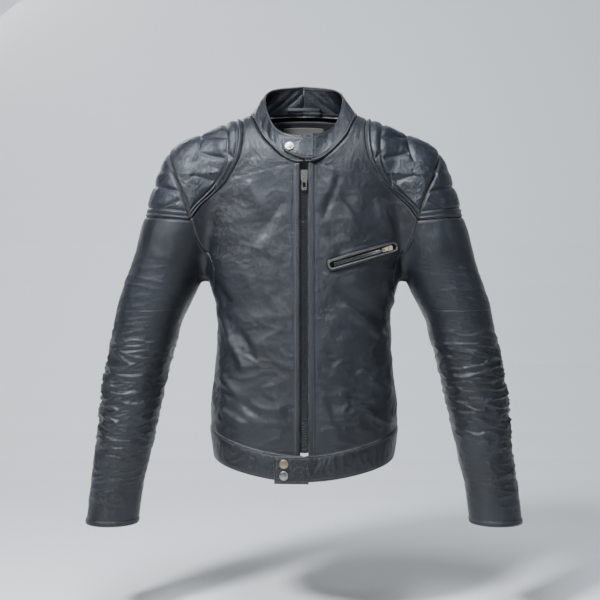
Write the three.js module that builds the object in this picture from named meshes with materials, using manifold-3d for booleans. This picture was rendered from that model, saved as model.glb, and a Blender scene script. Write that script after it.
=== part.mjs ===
// A leather riding jacket as it hangs on a dress form: band collar with a snapped tab, quilted shoulders
// and sleeve heads, a straight front zip, a slanted chest pocket and a waistband with a snapped tab.
//
// Millimetres, +Z up, the front faces -Y, the wearer's left is +X. The origin is the middle of the neck
// at the height of the shoulder's high point, where the shoulder seams meet the collar.
//
// Every leather panel is cut on one form, a smooth closed shape that is the jacket's outer surface. A
// panel is a patch between four seam lines, laid onto the form and given its thickness.
import * as THREE from "three";
import { mergeVertices } from "three/addons/utils/BufferGeometryUtils.js";
import Module from "manifold-3d";

const wasm = await Module();
wasm.setup();

// ---------------------------------------------------------------- driving dimensions

const chestWidth = 343; // side to side under the arms
const chestDepth = 218.5; // front to back under the arms
const bodyLength = 592; // high point of the shoulder to the hem at the side

const leather = 1.6; // one layer of hide
const quilt = 5; // leather, foam and backing, sewn through
const liningThickness = 1.1;
const liningHang = 7; // how far inside the hide's face the lining hangs
const bandThickness = 2.4; // collar and waistband, two layers of hide
const seamGap = 0.8; // each panel stops this far short of its seam line

const waistbandHeight = 51; // at the side
const waistbandFrontHeight = 41;
const collarHeight = 43; // at the front

const zipGap = 12.8; // between the two leather edges
const facingWidth = 10.5; // folded strip along each edge
const facingThickness = 1.2;
const chainHalf = 4.4; // centre of the zip to the back of one row of teeth
const chainThickness = 3;
const toothPitch = 4.4;
const toothClearance = 0.35;
const toothReach = 0.1; // how little a tooth goes past the middle, so that the rows can part
const tapeThickness = 0.8;
const tapeWidth = 12;
const chainDepth = 2.6; // the chain's middle lies this far under the hide's face
const zipTop = -110; // top of the chain
const zipBottom = -566;
const zipTravel = 440;

const sliderWidth = 11.2;
const sliderLength = 17;
const sliderPlate = 1.3;
const sliderClearance = 0.5;
const sliderNeck = 1.6; // room between chain and tape for the slider's neck
const pullLength = 23;
const pullWidth = 9;
const pullThickness = 1.5;

const snapCapRadius = 7.8;
const snapCapHeight = 2.2;
const snapSocketRadius = 5.2;
const snapSocketBore = 2.7;
const snapStudRadius = 4.2;
const snapNubRadius = 2.2;
const snapGap = 2.4; // between a tab and the band under it

const collarTabReach = 38; // past the centre of the front
const waistTabReach = 48;
const tabHeightAtEnd = 25; // collar tab's rounded end

const pocketLength = 126;
const pocketSlant = 16.6; // degrees
const pocketRadius = 208; // the chest's own curve along the pocket
const pocketSlot = 11; // width of the opening
const pocketLip = 4.5; // width of the sewn frame round it
const pocketBagDepth = 105;

const loopLength = 64;
const loopReach = 11; // how far the hanger loop stands off the collar
const loopHeight = 7;
const loopThickness = 2.4;

const elbowLevel = -405;
const elbowGap = 1.6;
const cuffLevel = -705;

// ---------------------------------------------------------------- the form

const across = chestWidth / 343;
const deep = chestDepth / 218.5;
const along = bodyLength / 592;

// A point of the cutting pattern, which is drawn at the base size.
const at = (x, y, z) => new THREE.Vector3(x * across, y * deep, z * along);

// level, half width, depth of the front, depth of the back
const bodySections = [
  [40, 40, 14, 50],
  [25, 55, 20, 60],
  [12, 74, 24, 72],
  [0, 94, 34, 80],
  [-14, 126, 52, 87],
  [-35, 170, 68, 94],
  [-60, 192, 80, 101],
  [-90, 192, 88, 108],
  [-150, 186, 92, 114],
  [-200, 180, 96, 117],
  [-268, 171.5, 100.5, 118],
  [-300, 160.5, 102.7, 115],
  [-335, 151.5, 105.2, 111],
  [-400, 150.5, 109.7, 105],
  [-453, 155, 113.4, 104],
  [-500, 160.5, 116.7, 107],
  [-545, 161, 119.9, 110],
  [-600, 154, 123.7, 113],
  [-660, 152, 128, 114],
];
// level, centre x, centre y, half width, half depth
const sleeveSections = [
  [-60, 176, 2, 62, 66],
  [-108, 186, 2, 63, 68],
  [-134, 195, 2, 66.5, 73],
  [-161, 204, 2, 67, 77],
  [-196, 217, 2, 67, 79],
  [-235, 228, 2, 66, 79],
  [-268, 238, 2, 66, 76],
  [-312, 255, 1, 64.5, 72],
  [-359, 271.5, 0, 58.5, 67],
  [-397, 279.5, -2, 57.5, 65],
  [-453, 292, -6, 55, 62],
  [-500, 300, -10, 53, 59],
  [-577, 312.5, -16, 49, 55],
  [-628, 321, -21, 46, 51],
  [-690, 329, -26, 45, 49],
  [-740, 336, -30, 45, 49],
];
const shoulderBall = { x: 186, z: -108, radius: 62 };
const bodySquareness = 2.4; // 2 would be an ellipse
const armBlend = 20;
const frontTop = -90; // below this level the middle of the front is one straight line
const frontDepthThere = 88;
const frontSlope = 0.0701; // how fast it comes forward on the way down

// A column of a table at a level, on a smooth curve through the rows.
function section(table, level, column) {
  const last = table.length - 1;
  if (level >= table[0][0]) return table[0][column];
  if (level <= table[last][0]) return table[last][column];
  let i = 0;
  while (level < table[i + 1][0]) i++;
  const slope = (a, b) => (table[b][column] - table[a][column]) / (table[b][0] - table[a][0]);
  const here = slope(i, i + 1);
  const before = i > 0 ? (slope(i - 1, i) + here) / 2 : here;
  const after = i + 2 <= last ? (slope(i + 1, i + 2) + here) / 2 : here;
  const step = table[i + 1][0] - table[i][0];
  const t = (level - table[i][0]) / step;
  return (
    (2 * t ** 3 - 3 * t ** 2 + 1) * table[i][column] +
    (t ** 3 - 2 * t ** 2 + t) * step * before +
    (3 * t ** 2 - 2 * t ** 3) * table[i + 1][column] +
    (t ** 3 - t ** 2) * step * after
  );
}

const frontDepth = (level) =>
  level < frontTop ? frontDepthThere + frontSlope * (frontTop - level) : section(bodySections, level, 2);

// How far a point is outside the form, roughly in millimetres and 0 on its surface.
function outside(p) {
  const x = Math.abs(p.x / across);
  const y = p.y / deep;
  const z = p.z / along;
  const halfWidth = section(bodySections, z, 1);
  const depth = y < 0 ? frontDepth(z) : section(bodySections, z, 3);
  const n = bodySquareness;
  const body = ((x / halfWidth) ** n + Math.abs(y / depth) ** n) ** (1 / n) - 1;
  const [cx, cy, rx, ry] = [1, 2, 3, 4].map((c) => section(sleeveSections, z, c));
  const arm = Math.hypot((x - cx) / rx, (y - cy) / ry) - 1;
  const ball = Math.hypot(x - shoulderBall.x, y, z - shoulderBall.z) - shoulderBall.radius;
  const armAway = arm * Math.min(rx, ry) + Math.max(0, z - shoulderBall.z);
  return blended(blended(body * Math.min(halfWidth, depth), armAway), ball);
}

// The smaller of two distances, with the corner between them rounded off.
function blended(a, b) {
  const h = Math.max(armBlend - Math.abs(a - b), 0) / armBlend;
  return Math.min(a, b) - (h * h * armBlend) / 4;
}

function slopeAt(p) {
  const e = 0.05;
  const g = new THREE.Vector3();
  for (const axis of ["x", "y", "z"]) {
    const more = p.clone();
    const less = p.clone();
    more[axis] += e;
    less[axis] -= e;
    g[axis] = (outside(more) - outside(less)) / (2 * e);
  }
  return g;
}

// The nearby point on the form, and the direction straight out of it.
function onForm(start) {
  const p = start.clone();
  for (let i = 0; i < 8; i++) {
    const g = slopeAt(p);
    p.addScaledVector(g, -outside(p) / g.lengthSq());
  }
  return { point: p, out: slopeAt(p).normalize() };
}

// ---------------------------------------------------------------- cloth and leather

const route = (points) => {
  const curve = new THREE.CatmullRomCurve3(points, false, "centripetal");
  return (t) => curve.getPointAt(THREE.MathUtils.clamp(t, 0, 1));
};
const mix = (a, b, t) => a.clone().lerp(b, t);

// Several routes end to end. Each takes its share of the way, so that a panel's corners fall on its grid.
const joined = (...legs) => {
  const whole = legs.reduce((sum, [share]) => sum + share, 0);
  return (t) => {
    let from = 0;
    for (const [share, leg] of legs) {
      if (t * whole <= from + share + 1e-9 || leg === legs.at(-1)[1]) return leg((t * whole - from) / share);
      from += share;
    }
  };
};
const backwards = (curve) => (t) => curve(1 - t);
const reflected = (curve) => (t) => flipX(curve(t));

// A patch between four seam lines that meet at their ends.
const patch = (bottom, top, left, right) => (u, v) => {
  const p = mix(bottom(u), top(u), v).add(mix(left(v), right(v), u));
  return p.sub(mix(mix(bottom(0), bottom(1), u), mix(top(0), top(1), u), v));
};
const between = (first, second) => (u, v) => mix(first(v), second(v), u);
const laid = (surface) => (u, v) => onForm(surface(u, v));
const inset = (surface, share, low = 0, high = 1) => (u, v) =>
  surface(share + (1 - 2 * share) * u, low + (high - low) * v);
const mirrored = (surface) => (u, v) => {
  const { point, out } = surface(u, v);
  return { point: flipX(point), out: flipX(out) };
};
const flipX = (p) => new THREE.Vector3(-p.x, p.y, p.z);

// A surface that isn't on the form: its normal comes from its own slopes, away from the body's middle.
const free = (surface) => (u, v) => {
  const e = 1e-3;
  const du = surface(u + e, v).sub(surface(u - e, v));
  const dv = surface(u, v + e).sub(surface(u, v - e));
  const point = surface(u, v);
  const out = du.cross(dv).normalize();
  if (out.x * point.x + out.y * point.y < 0) out.negate();
  return { point, out };
};

// A closed solid from a surface: its face at height `to`, its back at height `from`, and walls round it.
function sheet(surface, columns, rows, from, to, { round = false, gap = seamGap, vFrom = 0, vTo = 1 } = {}) {
  const grid = [];
  for (let j = 0; j <= rows; j++) {
    const row = [];
    for (let i = 0; i < columns + (round ? 0 : 1); i++)
      row.push(surface(i / columns, THREE.MathUtils.clamp(j / rows, vFrom, vTo)));
    grid.push(row);
  }
  const pull = (edge, next) => {
    const way = next.point.clone().sub(edge.point);
    edge.point.addScaledVector(way.normalize(), gap);
  };
  if (!round)
    for (const row of grid) {
      pull(row[0], row[1]);
      pull(row[columns], row[columns - 1]);
    }
  for (let i = 0; i < grid[0].length; i++) {
    pull(grid[0][i], grid[1][i]);
    pull(grid[rows][i], grid[rows - 1][i]);
  }
  const positions = [];
  for (const height of [to, from])
    for (const row of grid)
      for (const { point, out } of row) {
        positions.push(...point.clone().addScaledVector(out, height).toArray());
      }
  const wide = grid[0].length;
  const face = (i, j) => j * wide + (i % wide);
  const back = (i, j) => (rows + 1) * wide + face(i, j);
  const index = [];
  const quad = (a, b, c, d) => index.push(a, b, c, a, c, d);
  for (let j = 0; j < rows; j++)
    for (let i = 0; i < columns; i++) {
      quad(face(i, j), face(i + 1, j), face(i + 1, j + 1), face(i, j + 1));
      quad(back(i, j), back(i, j + 1), back(i + 1, j + 1), back(i + 1, j));
    }
  for (let i = 0; i < columns; i++) {
    quad(face(i, 0), back(i, 0), back(i + 1, 0), face(i + 1, 0));
    quad(face(i, rows), face(i + 1, rows), back(i + 1, rows), back(i, rows));
  }
  if (!round)
    for (let j = 0; j < rows; j++) {
      quad(face(0, j), face(0, j + 1), back(0, j + 1), back(0, j));
      quad(face(columns, j), back(columns, j), back(columns, j + 1), face(columns, j + 1));
    }
  return facingOut(positions, index);
}

// The geometry of a closed mesh, turned the right way out.
function facingOut(positions, index) {
  const corner = (i) => new THREE.Vector3().fromArray(positions, 3 * index[i]);
  let volume = 0;
  for (let i = 0; i < index.length; i += 3) volume += corner(i).dot(corner(i + 1).cross(corner(i + 2)));
  if (volume < 0)
    for (let i = 0; i < index.length; i += 3) [index[i + 1], index[i + 2]] = [index[i + 2], index[i + 1]];
  const geometry = new THREE.BufferGeometry();
  geometry.setAttribute("position", new THREE.Float32BufferAttribute(positions, 3));
  geometry.setIndex(index);
  return geometry;
}

function solidOf(geometry) {
  const bare = geometry.clone();
  bare.deleteAttribute("normal");
  bare.deleteAttribute("uv");
  const merged = mergeVertices(bare, 1e-4);
  return new wasm.Manifold(
    new wasm.Mesh({
      numProp: 3,
      vertProperties: merged.attributes.position.array,
      triVerts: new Uint32Array(merged.index.array),
    }),
  );
}

function geometryOf(solid) {
  const mesh = solid.getMesh();
  const geometry = new THREE.BufferGeometry();
  geometry.setAttribute("position", new THREE.BufferAttribute(new Float32Array(mesh.vertProperties), 3));
  geometry.setIndex(new THREE.BufferAttribute(mesh.triVerts, 1));
  return geometry;
}

const hide = new THREE.MeshStandardMaterial({ color: 0x1b1d22, roughness: 0.42 });
const liningCloth = new THREE.MeshStandardMaterial({ color: 0x141416, roughness: 0.6 });
const tapeCloth = new THREE.MeshStandardMaterial({ color: 0x0c0c0d, roughness: 0.9 });
const darkMetal = new THREE.MeshStandardMaterial({ color: 0x2a2a2b, roughness: 0.35, metalness: 1 });
const nickel = new THREE.MeshStandardMaterial({ color: 0xb8b8b4, roughness: 0.3, metalness: 1 });
const bronze = new THREE.MeshStandardMaterial({ color: 0x8a7050, roughness: 0.4, metalness: 1 });

const jacket = new THREE.Group();
function add(name, geometry, material, parent = jacket) {
  const mesh = new THREE.Mesh(geometry, material);
  mesh.name = name;
  parent.add(mesh);
  return mesh;
}

// ---------------------------------------------------------------- seam lines of the left half

const foldTop = { x: 22.4, z: -92 };
const foldBottom = { x: 66, z: -621 };
const foldX = (z) => foldTop.x + ((foldBottom.x - foldTop.x) * (foldTop.z - z)) / (foldTop.z - foldBottom.z);
const zipEdge = zipGap / 2 / across;

// Level of the seam above the waistband and of the hem, for an angle from the middle of the front.
const waistSeam = (angle) => -541 - (angle < Math.PI / 2 ? 39 : 9) * Math.cos(angle) ** 2;
const frontHem = waistSeam(0) - waistbandFrontHeight;
const sideHem = -541 - waistbandHeight;
const hemDrop = (angle) => (angle < Math.PI / 2 ? frontHem - sideHem : -13);
const hemLevel = (angle) => sideHem + hemDrop(angle) * Math.cos(angle) ** 2;

// A point on the body at an angle from the middle of the front, before it is laid on the form.
function bodyPoint(angle, level) {
  const depth = angle < Math.PI / 2 ? frontDepth(level) : section(bodySections, level, 3);
  return at(section(bodySections, level, 1) * Math.sin(angle), -depth * Math.cos(angle), level);
}
const frontAngle = (x, level) => Math.asin(Math.min(0.999, x / section(bodySections, level, 1)));
const frontPoint = (x, level) => bodyPoint(frontAngle(x, level), level);

const corner = { front: at(189, -80, -188), back: at(192, 88, -188) };
const armpit = at(165, 0, -272);
const shoulderTip = at(227, 0, -71);
const quiltTop = at(107, 0, -10);
const neckSide = at(90, 0, 0);

const armholeFrontTop = route([corner.front, at(208, -62, -135), at(222, -34, -92), shoulderTip]);
const armholeBackTop = route([shoulderTip, at(222, 36, -92), at(210, 66, -135), corner.back]);
const armholeFrontLow = route([armpit, at(166, -36, -262), at(174, -68, -236), corner.front]);
const armholeBackLow = route([armpit, at(167, 40, -262), at(176, 76, -236), corner.back]);
const headFront = route([at(279, 2, -178), at(262, -52, -180), at(225, -80, -184), corner.front]);
const headBack = route([corner.back, at(228, 84, -184), at(264, 55, -180), at(279, 2, -178)]);
const quiltFront = route([
  corner.front,
  at(173, -84, -165),
  at(150, -88, -138),
  at(132, -88, -115),
  at(113, -82, -87),
  at(104, -66, -60),
  at(101, -40, -34),
  quiltTop,
]);
const quiltBack = route([
  quiltTop,
  at(104, 45, -30),
  at(108, 75, -60),
  at(122, 95, -95),
  at(145, 104, -130),
  at(172, 100, -162),
  corner.back,
]);
const neckFront = [
  frontPoint(foldTop.x, foldTop.z),
  at(34, -84, -82),
  at(55, -74, -64),
  at(71, -60, -46),
  at(82, -32, -22),
  neckSide,
];
const neckBack = [neckSide, at(84, 36, 6), at(58, 62, 10), at(0, 74, 12)];
const sideLevels = [-541, -500, -453, -400, -335, -300];
const sideSeam = route([...sideLevels.map((z) => bodyPoint(Math.PI / 2, z)), armpit]);

// The seam above the waistband between two angles.
const waistLine = (from, to) =>
  route([0, 0.25, 0.5, 0.75, 1].map((t) => {
    const angle = from + (to - from) * t;
    return bodyPoint(angle, waistSeam(angle));
  }));
const foldFootAngle = frontAngle(foldX(waistSeam(0.42)), waistSeam(0.42));
const foldFoot = waistSeam(foldFootAngle);
const foldLine = (t) => {
  const level = foldFoot + (foldTop.z - foldFoot) * t;
  return frontPoint(foldX(level), level);
};

// ---------------------------------------------------------------- body panels

const outerFront = joined([7, sideSeam], [3, armholeFrontLow], [6, quiltFront]);
const innerFront = joined([12, foldLine], [4, route(neckFront)]);
const frontSurface = laid(
  patch(waistLine(foldFootAngle, Math.PI / 2), route([neckSide, quiltTop]), innerFront, outerFront),
);

const backNeck = route([
  quiltTop, neckSide, ...neckBack.slice(1), ...neckBack.slice(0, -1).reverse().map(flipX), flipX(quiltTop),
]);
const yokeMiddle = [at(100, 112, -172), at(0, 114, -166), at(-100, 112, -172)];
const yokeSeam = route([corner.back, ...yokeMiddle, flipX(corner.back)]);
const quiltBackUp = backwards(quiltBack);
const yokeSurface = laid(patch(yokeSeam, backNeck, quiltBackUp, reflected(quiltBackUp)));

const backSide = joined([7, sideSeam], [3, armholeBackLow]);
const backWaist = route(
  [0.5, 0.6, 0.7, 0.8, 0.9, 1].map((t) => bodyPoint(t * Math.PI, waistSeam(t * Math.PI)))
    .concat([0.9, 0.8, 0.7, 0.6, 0.5].map((t) => flipX(bodyPoint(t * Math.PI, waistSeam(t * Math.PI))))),
);
const backSurface = laid(patch(backWaist, yokeSeam, backSide, reflected(backSide)));

const quiltInner = joined([6, quiltFront], [6, quiltBack]);
const quiltOuter = joined([6, armholeFrontTop], [6, armholeBackTop]);
const shoulderSurface = laid(between(quiltInner, quiltOuter));

const panelLeft = sheet(frontSurface, 8, 16, -leather, 0);
const panelRight = sheet(mirrored(frontSurface), 8, 16, -leather, 0);
add("front_right_panel", panelRight, hide);
add("back_yoke", sheet(yokeSurface, 14, 6, -leather, 0), hide);
add("back_panel", sheet(backSurface, 14, 10, -leather, 0), hide);

const quiltEnds = { vFrom: 0.05, vTo: 0.95 };
const clothFrom = -liningHang - liningThickness;
for (const [side, turn] of [["left", (s) => s], ["right", mirrored]]) {
  const shoulder = sheet(turn(shoulderSurface), 4, 12, -leather, quilt - leather, quiltEnds);
  add(`shoulder_${side}_quilt`, shoulder, hide);
  const cloth = turn(inset(frontSurface, 0.15, 0.04, 0.86));
  add(`front_${side}_lining`, sheet(cloth, 10, 20, clothFrom, -liningHang, { gap: 1 }), liningCloth);
}
add("yoke_lining", sheet(yokeSurface, 14, 6, clothFrom, -liningHang, { gap: 10 }), liningCloth);
const backCloth = inset(backSurface, 0.15);
add("back_lining", sheet(backCloth, 14, 10, clothFrom, -liningHang, { gap: 6 }), liningCloth);

// ---------------------------------------------------------------- collar

const collarBase = [at(0, -90, -90), at(17, -89, -90), ...neckFront.slice(1), ...neckBack.slice(1)];
const collarTop = [
  at(0, -74, -44),
  at(30, -66, -40),
  at(50, -48, -26),
  at(62, -25, 2),
  at(66, 5, 34),
  at(52, 42, 54),
  at(0, 60, 63),
];
const collarLift = collarHeight / 43;
const collarFoot = route(collarBase.map((p) => onForm(p).point.add(new THREE.Vector3(0, 0, 2))));
const collarRim = route(collarTop);
const collarWall = (u, v) => mix(collarFoot(u), collarRim(u), v * collarLift);
// Where along the collar's foot a distance from the middle falls.
function collarPlace(x) {
  let place = 0;
  while (collarFoot(place).x < x && place < 1) place += 0.0025;
  return place;
}
const collarFold = collarPlace(foldTop.x * across);
const collarPart = (from, to) =>
  free((u, v) => collarWall(THREE.MathUtils.clamp(THREE.MathUtils.lerp(from, to, u), 0, 1), v));
// The collar's front ends slope apart towards the rim, so that they pass each other as the front opens.
const [collarEndLow, collarEndHigh] = [collarPlace(1.8), collarPlace(10.4)];
const collarFront = free((u, v) => {
  const end = THREE.MathUtils.lerp(collarEndLow, collarEndHigh, v);
  return collarWall(THREE.MathUtils.lerp(end, collarFold, u), v);
});
for (const [side, turn] of [["left", (s) => s], ["right", mirrored]]) {
  add(`collar_${side}`, sheet(turn(collarPart(collarFold, 1)), 16, 3, 0, bandThickness), hide);
  add(`collar_${side}_front`, sheet(turn(collarFront), 2, 3, 0, bandThickness), hide);
}

// The tab carries the left end of the collar past the middle, over the right end.
const tabLift = bandThickness + snapGap;
const tabRoot = 12;
const collarTabSurface = free((u, v) => {
  const x = THREE.MathUtils.lerp(tabRoot, -collarTabReach, u);
  const round = Math.sqrt(Math.max(0, 1 - Math.max(0, (u - 0.86) / 0.14) ** 2));
  const narrowing = THREE.MathUtils.smoothstep(u, 0.1, 0.9);
  const full = THREE.MathUtils.lerp(collarHeight - 3, tabHeightAtEnd, narrowing);
  const half = (full / 2) * (0.55 + 0.45 * round);
  const place = collarPlace(Math.abs(x));
  const foot = collarFoot(place);
  const rim = collarWall(place, 1);
  const middle = mix(foot, rim, 0.48);
  const up = rim.sub(foot).normalize();
  const p = middle.addScaledVector(up, (v - 0.5) * 2 * half);
  p.x = x;
  return p;
});
function frameAt(surface, u, v) {
  const { point, out } = surface(u, v);
  const up = surface(u, v + 0.01).point.sub(surface(u, v - 0.01).point).normalize();
  const side = up.clone().cross(out).normalize();
  return new THREE.Matrix4().makeBasis(side, out.clone().cross(side), out).setPosition(point);
}

// Snap pieces are turned about +Z, which becomes the way straight out of the leather.
const ringTurns = 12;
const lathe = (profile) => {
  const made = new THREE.LatheGeometry(profile.map(([r, z]) => new THREE.Vector2(r, z)), ringTurns);
  return made.rotateX(Math.PI / 2);
};
const capShape = () =>
  lathe([
    [0, 0],
    [snapCapRadius, 0],
    [snapCapRadius, snapCapHeight * 0.35],
    [snapCapRadius * 0.85, snapCapHeight * 0.8],
    [snapCapRadius * 0.5, snapCapHeight],
    [0, snapCapHeight],
  ]);
const nubReach = snapGap - 0.7;
const studShape = () =>
  lathe([
    [0, 0],
    [snapStudRadius, 0],
    [snapStudRadius, 0.6],
    [snapNubRadius, 0.8],
    [snapNubRadius, nubReach],
    [0, nubReach],
  ]);
const socketShape = () =>
  lathe([
    [snapSocketBore, 0],
    [snapSocketRadius, 0],
    [snapSocketRadius, snapGap - 1.5],
    [snapSocketBore, snapGap - 1.5],
    [snapSocketBore, 0],
  ]);
function placed(geometry, frame, height) {
  const made = geometry.clone();
  made.translate(0, 0, height);
  made.applyMatrix4(frame);
  return facingOut([...made.toNonIndexed().attributes.position.array], [...Array(made.index.count).keys()]);
}

const rest = 0.3; // pieces that lie on each other keep this much air
const collarSnapU = 0.735;
const collarSnap = frameAt(collarTabSurface, collarSnapU, 0.5);
add("collar_tab", sheet(collarTabSurface, 14, 4, tabLift, tabLift + bandThickness, { gap: 0 }), hide);
add("collar_snap_cap", placed(capShape(), collarSnap, tabLift + bandThickness + rest), nickel);
add("collar_snap_socket", placed(socketShape(), collarSnap, tabLift - (snapGap - 1.5) - rest), nickel);
add("collar_snap_stud", placed(studShape(), collarSnap, bandThickness + rest), nickel);

// ---------------------------------------------------------------- waistband

const bandSurface = (from, to) =>
  laid((u, v) => {
    const angle = from + (to - from) * u;
    const low = hemLevel(angle);
    return bodyPoint(angle, low + (waistSeam(angle) - low) * v);
  });
const bandFold = frontAngle(foldX(-600), -600);
const bandEnd = frontAngle(zipEdge / 2, -600);
const sideBand = bandSurface(bandFold, Math.PI / 2);
const frontBand = bandSurface(bandEnd, bandFold);
const bandSheet = (surface, columns) => sheet(surface, columns, 3, 0, bandThickness);
add("waistband_left", bandSheet(sideBand, 8), hide);
add("waistband_right", bandSheet(mirrored(sideBand), 8), hide);
const backBand = laid((u, v) => {
  const angle = Math.PI * (0.5 + u);
  const low = hemLevel(angle);
  const level = low + (waistSeam(angle) - low) * v;
  return angle < Math.PI ? bodyPoint(angle, level) : flipX(bodyPoint(2 * Math.PI - angle, level));
});
add("waistband_back", bandSheet(backBand, 20), hide);

// ---------------------------------------------------------------- plackets, zip and waist tab

const placketSurface = laid((u, v) => {
  const low = waistSeam(THREE.MathUtils.lerp(bandEnd, foldFootAngle, u));
  const level = low + (foldTop.z - low) * v;
  return frontPoint(THREE.MathUtils.lerp(zipEdge, foldX(level), u), level);
});
const strip = (from, to) =>
  laid((u, v) => {
    const low = waistSeam(bandEnd);
    return frontPoint(THREE.MathUtils.lerp(from, to, u) / across, low + (foldTop.z - low) * v);
  });
const facingSurface = strip(zipGap / 2 - 0.4, zipGap / 2 + facingWidth - 0.4);
const tapeSurface = strip(chainHalf + sliderNeck, chainHalf + tapeWidth);
const facingFrom = rest;
const waistTabSurface = laid((u, v) => {
  const x = THREE.MathUtils.lerp(6, -waistTabReach, u) / across;
  const low = frontHem - 3;
  const level = low + (waistSeam(0) + 1 - low) * v;
  const p = frontPoint(Math.abs(x), level);
  return x < 0 ? flipX(p) : p;
});

// The line that the zip's chain runs along, straight down the middle of the front.
const frontLine = (level) => at(0, -frontDepth(level), level);
const downZip = frontLine(zipBottom).sub(frontLine(zipTop)).normalize();
const outOfZip = new THREE.Vector3(0, downZip.z, -downZip.y);
const zipFrame = (level) => {
  const up = downZip.clone().negate();
  const side = up.clone().cross(outOfZip).normalize();
  return new THREE.Matrix4().makeBasis(side, up, outOfZip).setPosition(frontLine(level));
};

// One row of teeth on its cord: a comb, drawn in the zip's plane and given its thickness.
function toothRow(side) {
  const length = frontLine(zipTop).distanceTo(frontLine(zipBottom));
  const teeth = Math.floor((length - 2) / toothPitch);
  const shift = side > 0 ? 0 : toothPitch / 2;
  const outline = [[chainHalf, 0]];
  const toothHalf = toothPitch / 4 - toothClearance / 2;
  const root = 1.9; // how far a gap between teeth goes past the middle
  for (let i = 0; i < teeth; i++) {
    const y = -(i + 0.5) * toothPitch - shift;
    outline.push([root, y + toothHalf + 0.2], [-toothReach, y + toothHalf]);
    outline.push([-toothReach, y - toothHalf], [root, y - toothHalf - 0.2]);
  }
  outline.splice(1, 0, [root, 0]);
  outline.push([root, -length], [chainHalf, -length]);
  const shape = new THREE.Shape(outline.map(([x, y]) => new THREE.Vector2(x, y)));
  const made = new THREE.ExtrudeGeometry(shape, { depth: chainThickness, bevelEnabled: false });
  made.translate(0, 0, -chainDepth - chainThickness / 2);
  if (side < 0) made.scale(-1, 1, 1);
  made.applyMatrix4(zipFrame(zipTop));
  return facingOut([...made.attributes.position.array], [...Array(made.attributes.position.count).keys()]);
}

const block = (width, height, thick) => new THREE.BoxGeometry(width, height, thick);
function inZip(geometry, level) {
  const made = geometry.clone();
  made.applyMatrix4(zipFrame(level));
  return made;
}

for (const [side, sign, turn] of [["left", 1, (s) => s], ["right", -1, mirrored]]) {
  add(`placket_${side}`, sheet(turn(placketSurface), 3, 14, -leather, 0), hide);
  const facing = sheet(turn(facingSurface), 1, 14, facingFrom, facingFrom + facingThickness, { gap: 0.2 });
  add(`zip_facing_${side}`, facing, hide);
  const tapeFrom = -chainDepth - tapeThickness / 2;
  const tape = sheet(turn(tapeSurface), 1, 14, tapeFrom, tapeFrom + tapeThickness, { gap: 0.2 });
  add(`zip_tape_${side}`, tape, tapeCloth);
  add(`zip_teeth_${side}`, toothRow(sign), darkMetal);
  add(`waistband_${side}_front`, bandSheet(turn(frontBand), 4), hide);
}
const endBlock = block(3.6, 7, chainThickness + 1.4).translate(0, 0, -chainDepth);
add("zip_pin", inZip(endBlock.clone().translate(2.1, -4.5, 0), zipBottom), darkMetal);
add("zip_box", inZip(endBlock.clone().translate(-2.1, -4.5, 0), zipBottom), darkMetal);

add("waist_tab", sheet(waistTabSurface, 9, 4, tabLift, tabLift + bandThickness, { gap: 0 }), hide);
for (const [name, v] of [["upper", 0.72], ["lower", 0.3]]) {
  const frame = frameAt(waistTabSurface, 0.72, v);
  add(`waist_snap_cap_${name}`, placed(capShape(), frame, tabLift + bandThickness + rest), nickel);
  add(`waist_snap_socket_${name}`, placed(socketShape(), frame, tabLift - (snapGap - 1.5) - rest), nickel);
  add(`waist_snap_stud_${name}`, placed(studShape(), frame, bandThickness + rest), nickel);
}

// The slider's two plates and the neck that joins them on the right of the chain. The back plate is only
// behind the right row, so that the left row can swing out of it as the front opens.
const plateFront = -chainDepth + chainThickness / 2 + sliderClearance;
const plateBack = -chainDepth - chainThickness / 2 - sliderClearance;
const crownHeight = 3.4;
const crownBore = 1.1;
function sliderBody(width, length) {
  const front = block(width, length, sliderPlate).translate(0, 0, plateFront + sliderPlate / 2);
  const backWidth = chainHalf + sliderNeck - 0.6 - 0.35;
  const back = block(backWidth, length, sliderPlate);
  back.translate(-0.6 - backWidth / 2, 0, plateBack - sliderPlate / 2);
  const neckWidth = sliderNeck - 0.7;
  const tall = plateFront - plateBack + 2 * sliderPlate;
  const neck = block(neckWidth, length, tall);
  neck.translate(-chainHalf - sliderNeck / 2, 0, (plateFront + plateBack) / 2);
  const crown = block(2.6, 8, crownHeight);
  crown.translate(0, -length / 2 + 6, plateFront + sliderPlate + crownHeight / 2 - 0.1);
  const bore = new THREE.CylinderGeometry(crownBore, crownBore, 6, 12).rotateZ(Math.PI / 2);
  bore.translate(0, -length / 2 + 4, plateFront + sliderPlate + crownHeight / 2);
  return solidOf(front).add(solidOf(back)).add(solidOf(neck)).add(solidOf(crown)).subtract(solidOf(bore));
}
// The pull tab: a plate with a window, hung on a pin through the crown.
function pullTab(length, width, thickness) {
  const plate = block(width, length, thickness).translate(0, -length / 2 + 1.5, 0);
  const slot = block(3.4, 11, thickness + 2).translate(0, 0.6, 0);
  const window = block(width * 0.42, length * 0.16, thickness + 2).translate(0, -length + 5.5, 0);
  const pinRadius = crownBore - 0.3;
  const pin = new THREE.CylinderGeometry(pinRadius, pinRadius, width * 0.7, 12).rotateZ(Math.PI / 2);
  return solidOf(plate).subtract(solidOf(slot)).subtract(solidOf(window)).add(solidOf(pin));
}
const sliderLevel = zipTop - 3;
const crownZ = plateFront + sliderPlate + crownHeight / 2;
add("zip_slider", inZip(geometryOf(sliderBody(sliderWidth, sliderLength)), sliderLevel), nickel);
const pullSeat = new THREE.Matrix4().makeTranslation(0, -sliderLength / 2 + 4, crownZ);
const pull = geometryOf(pullTab(pullLength, pullWidth, pullThickness)).applyMatrix4(pullSeat);
add("zip_pull", inZip(pull, sliderLevel), nickel);

// ---------------------------------------------------------------- chest pocket

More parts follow.
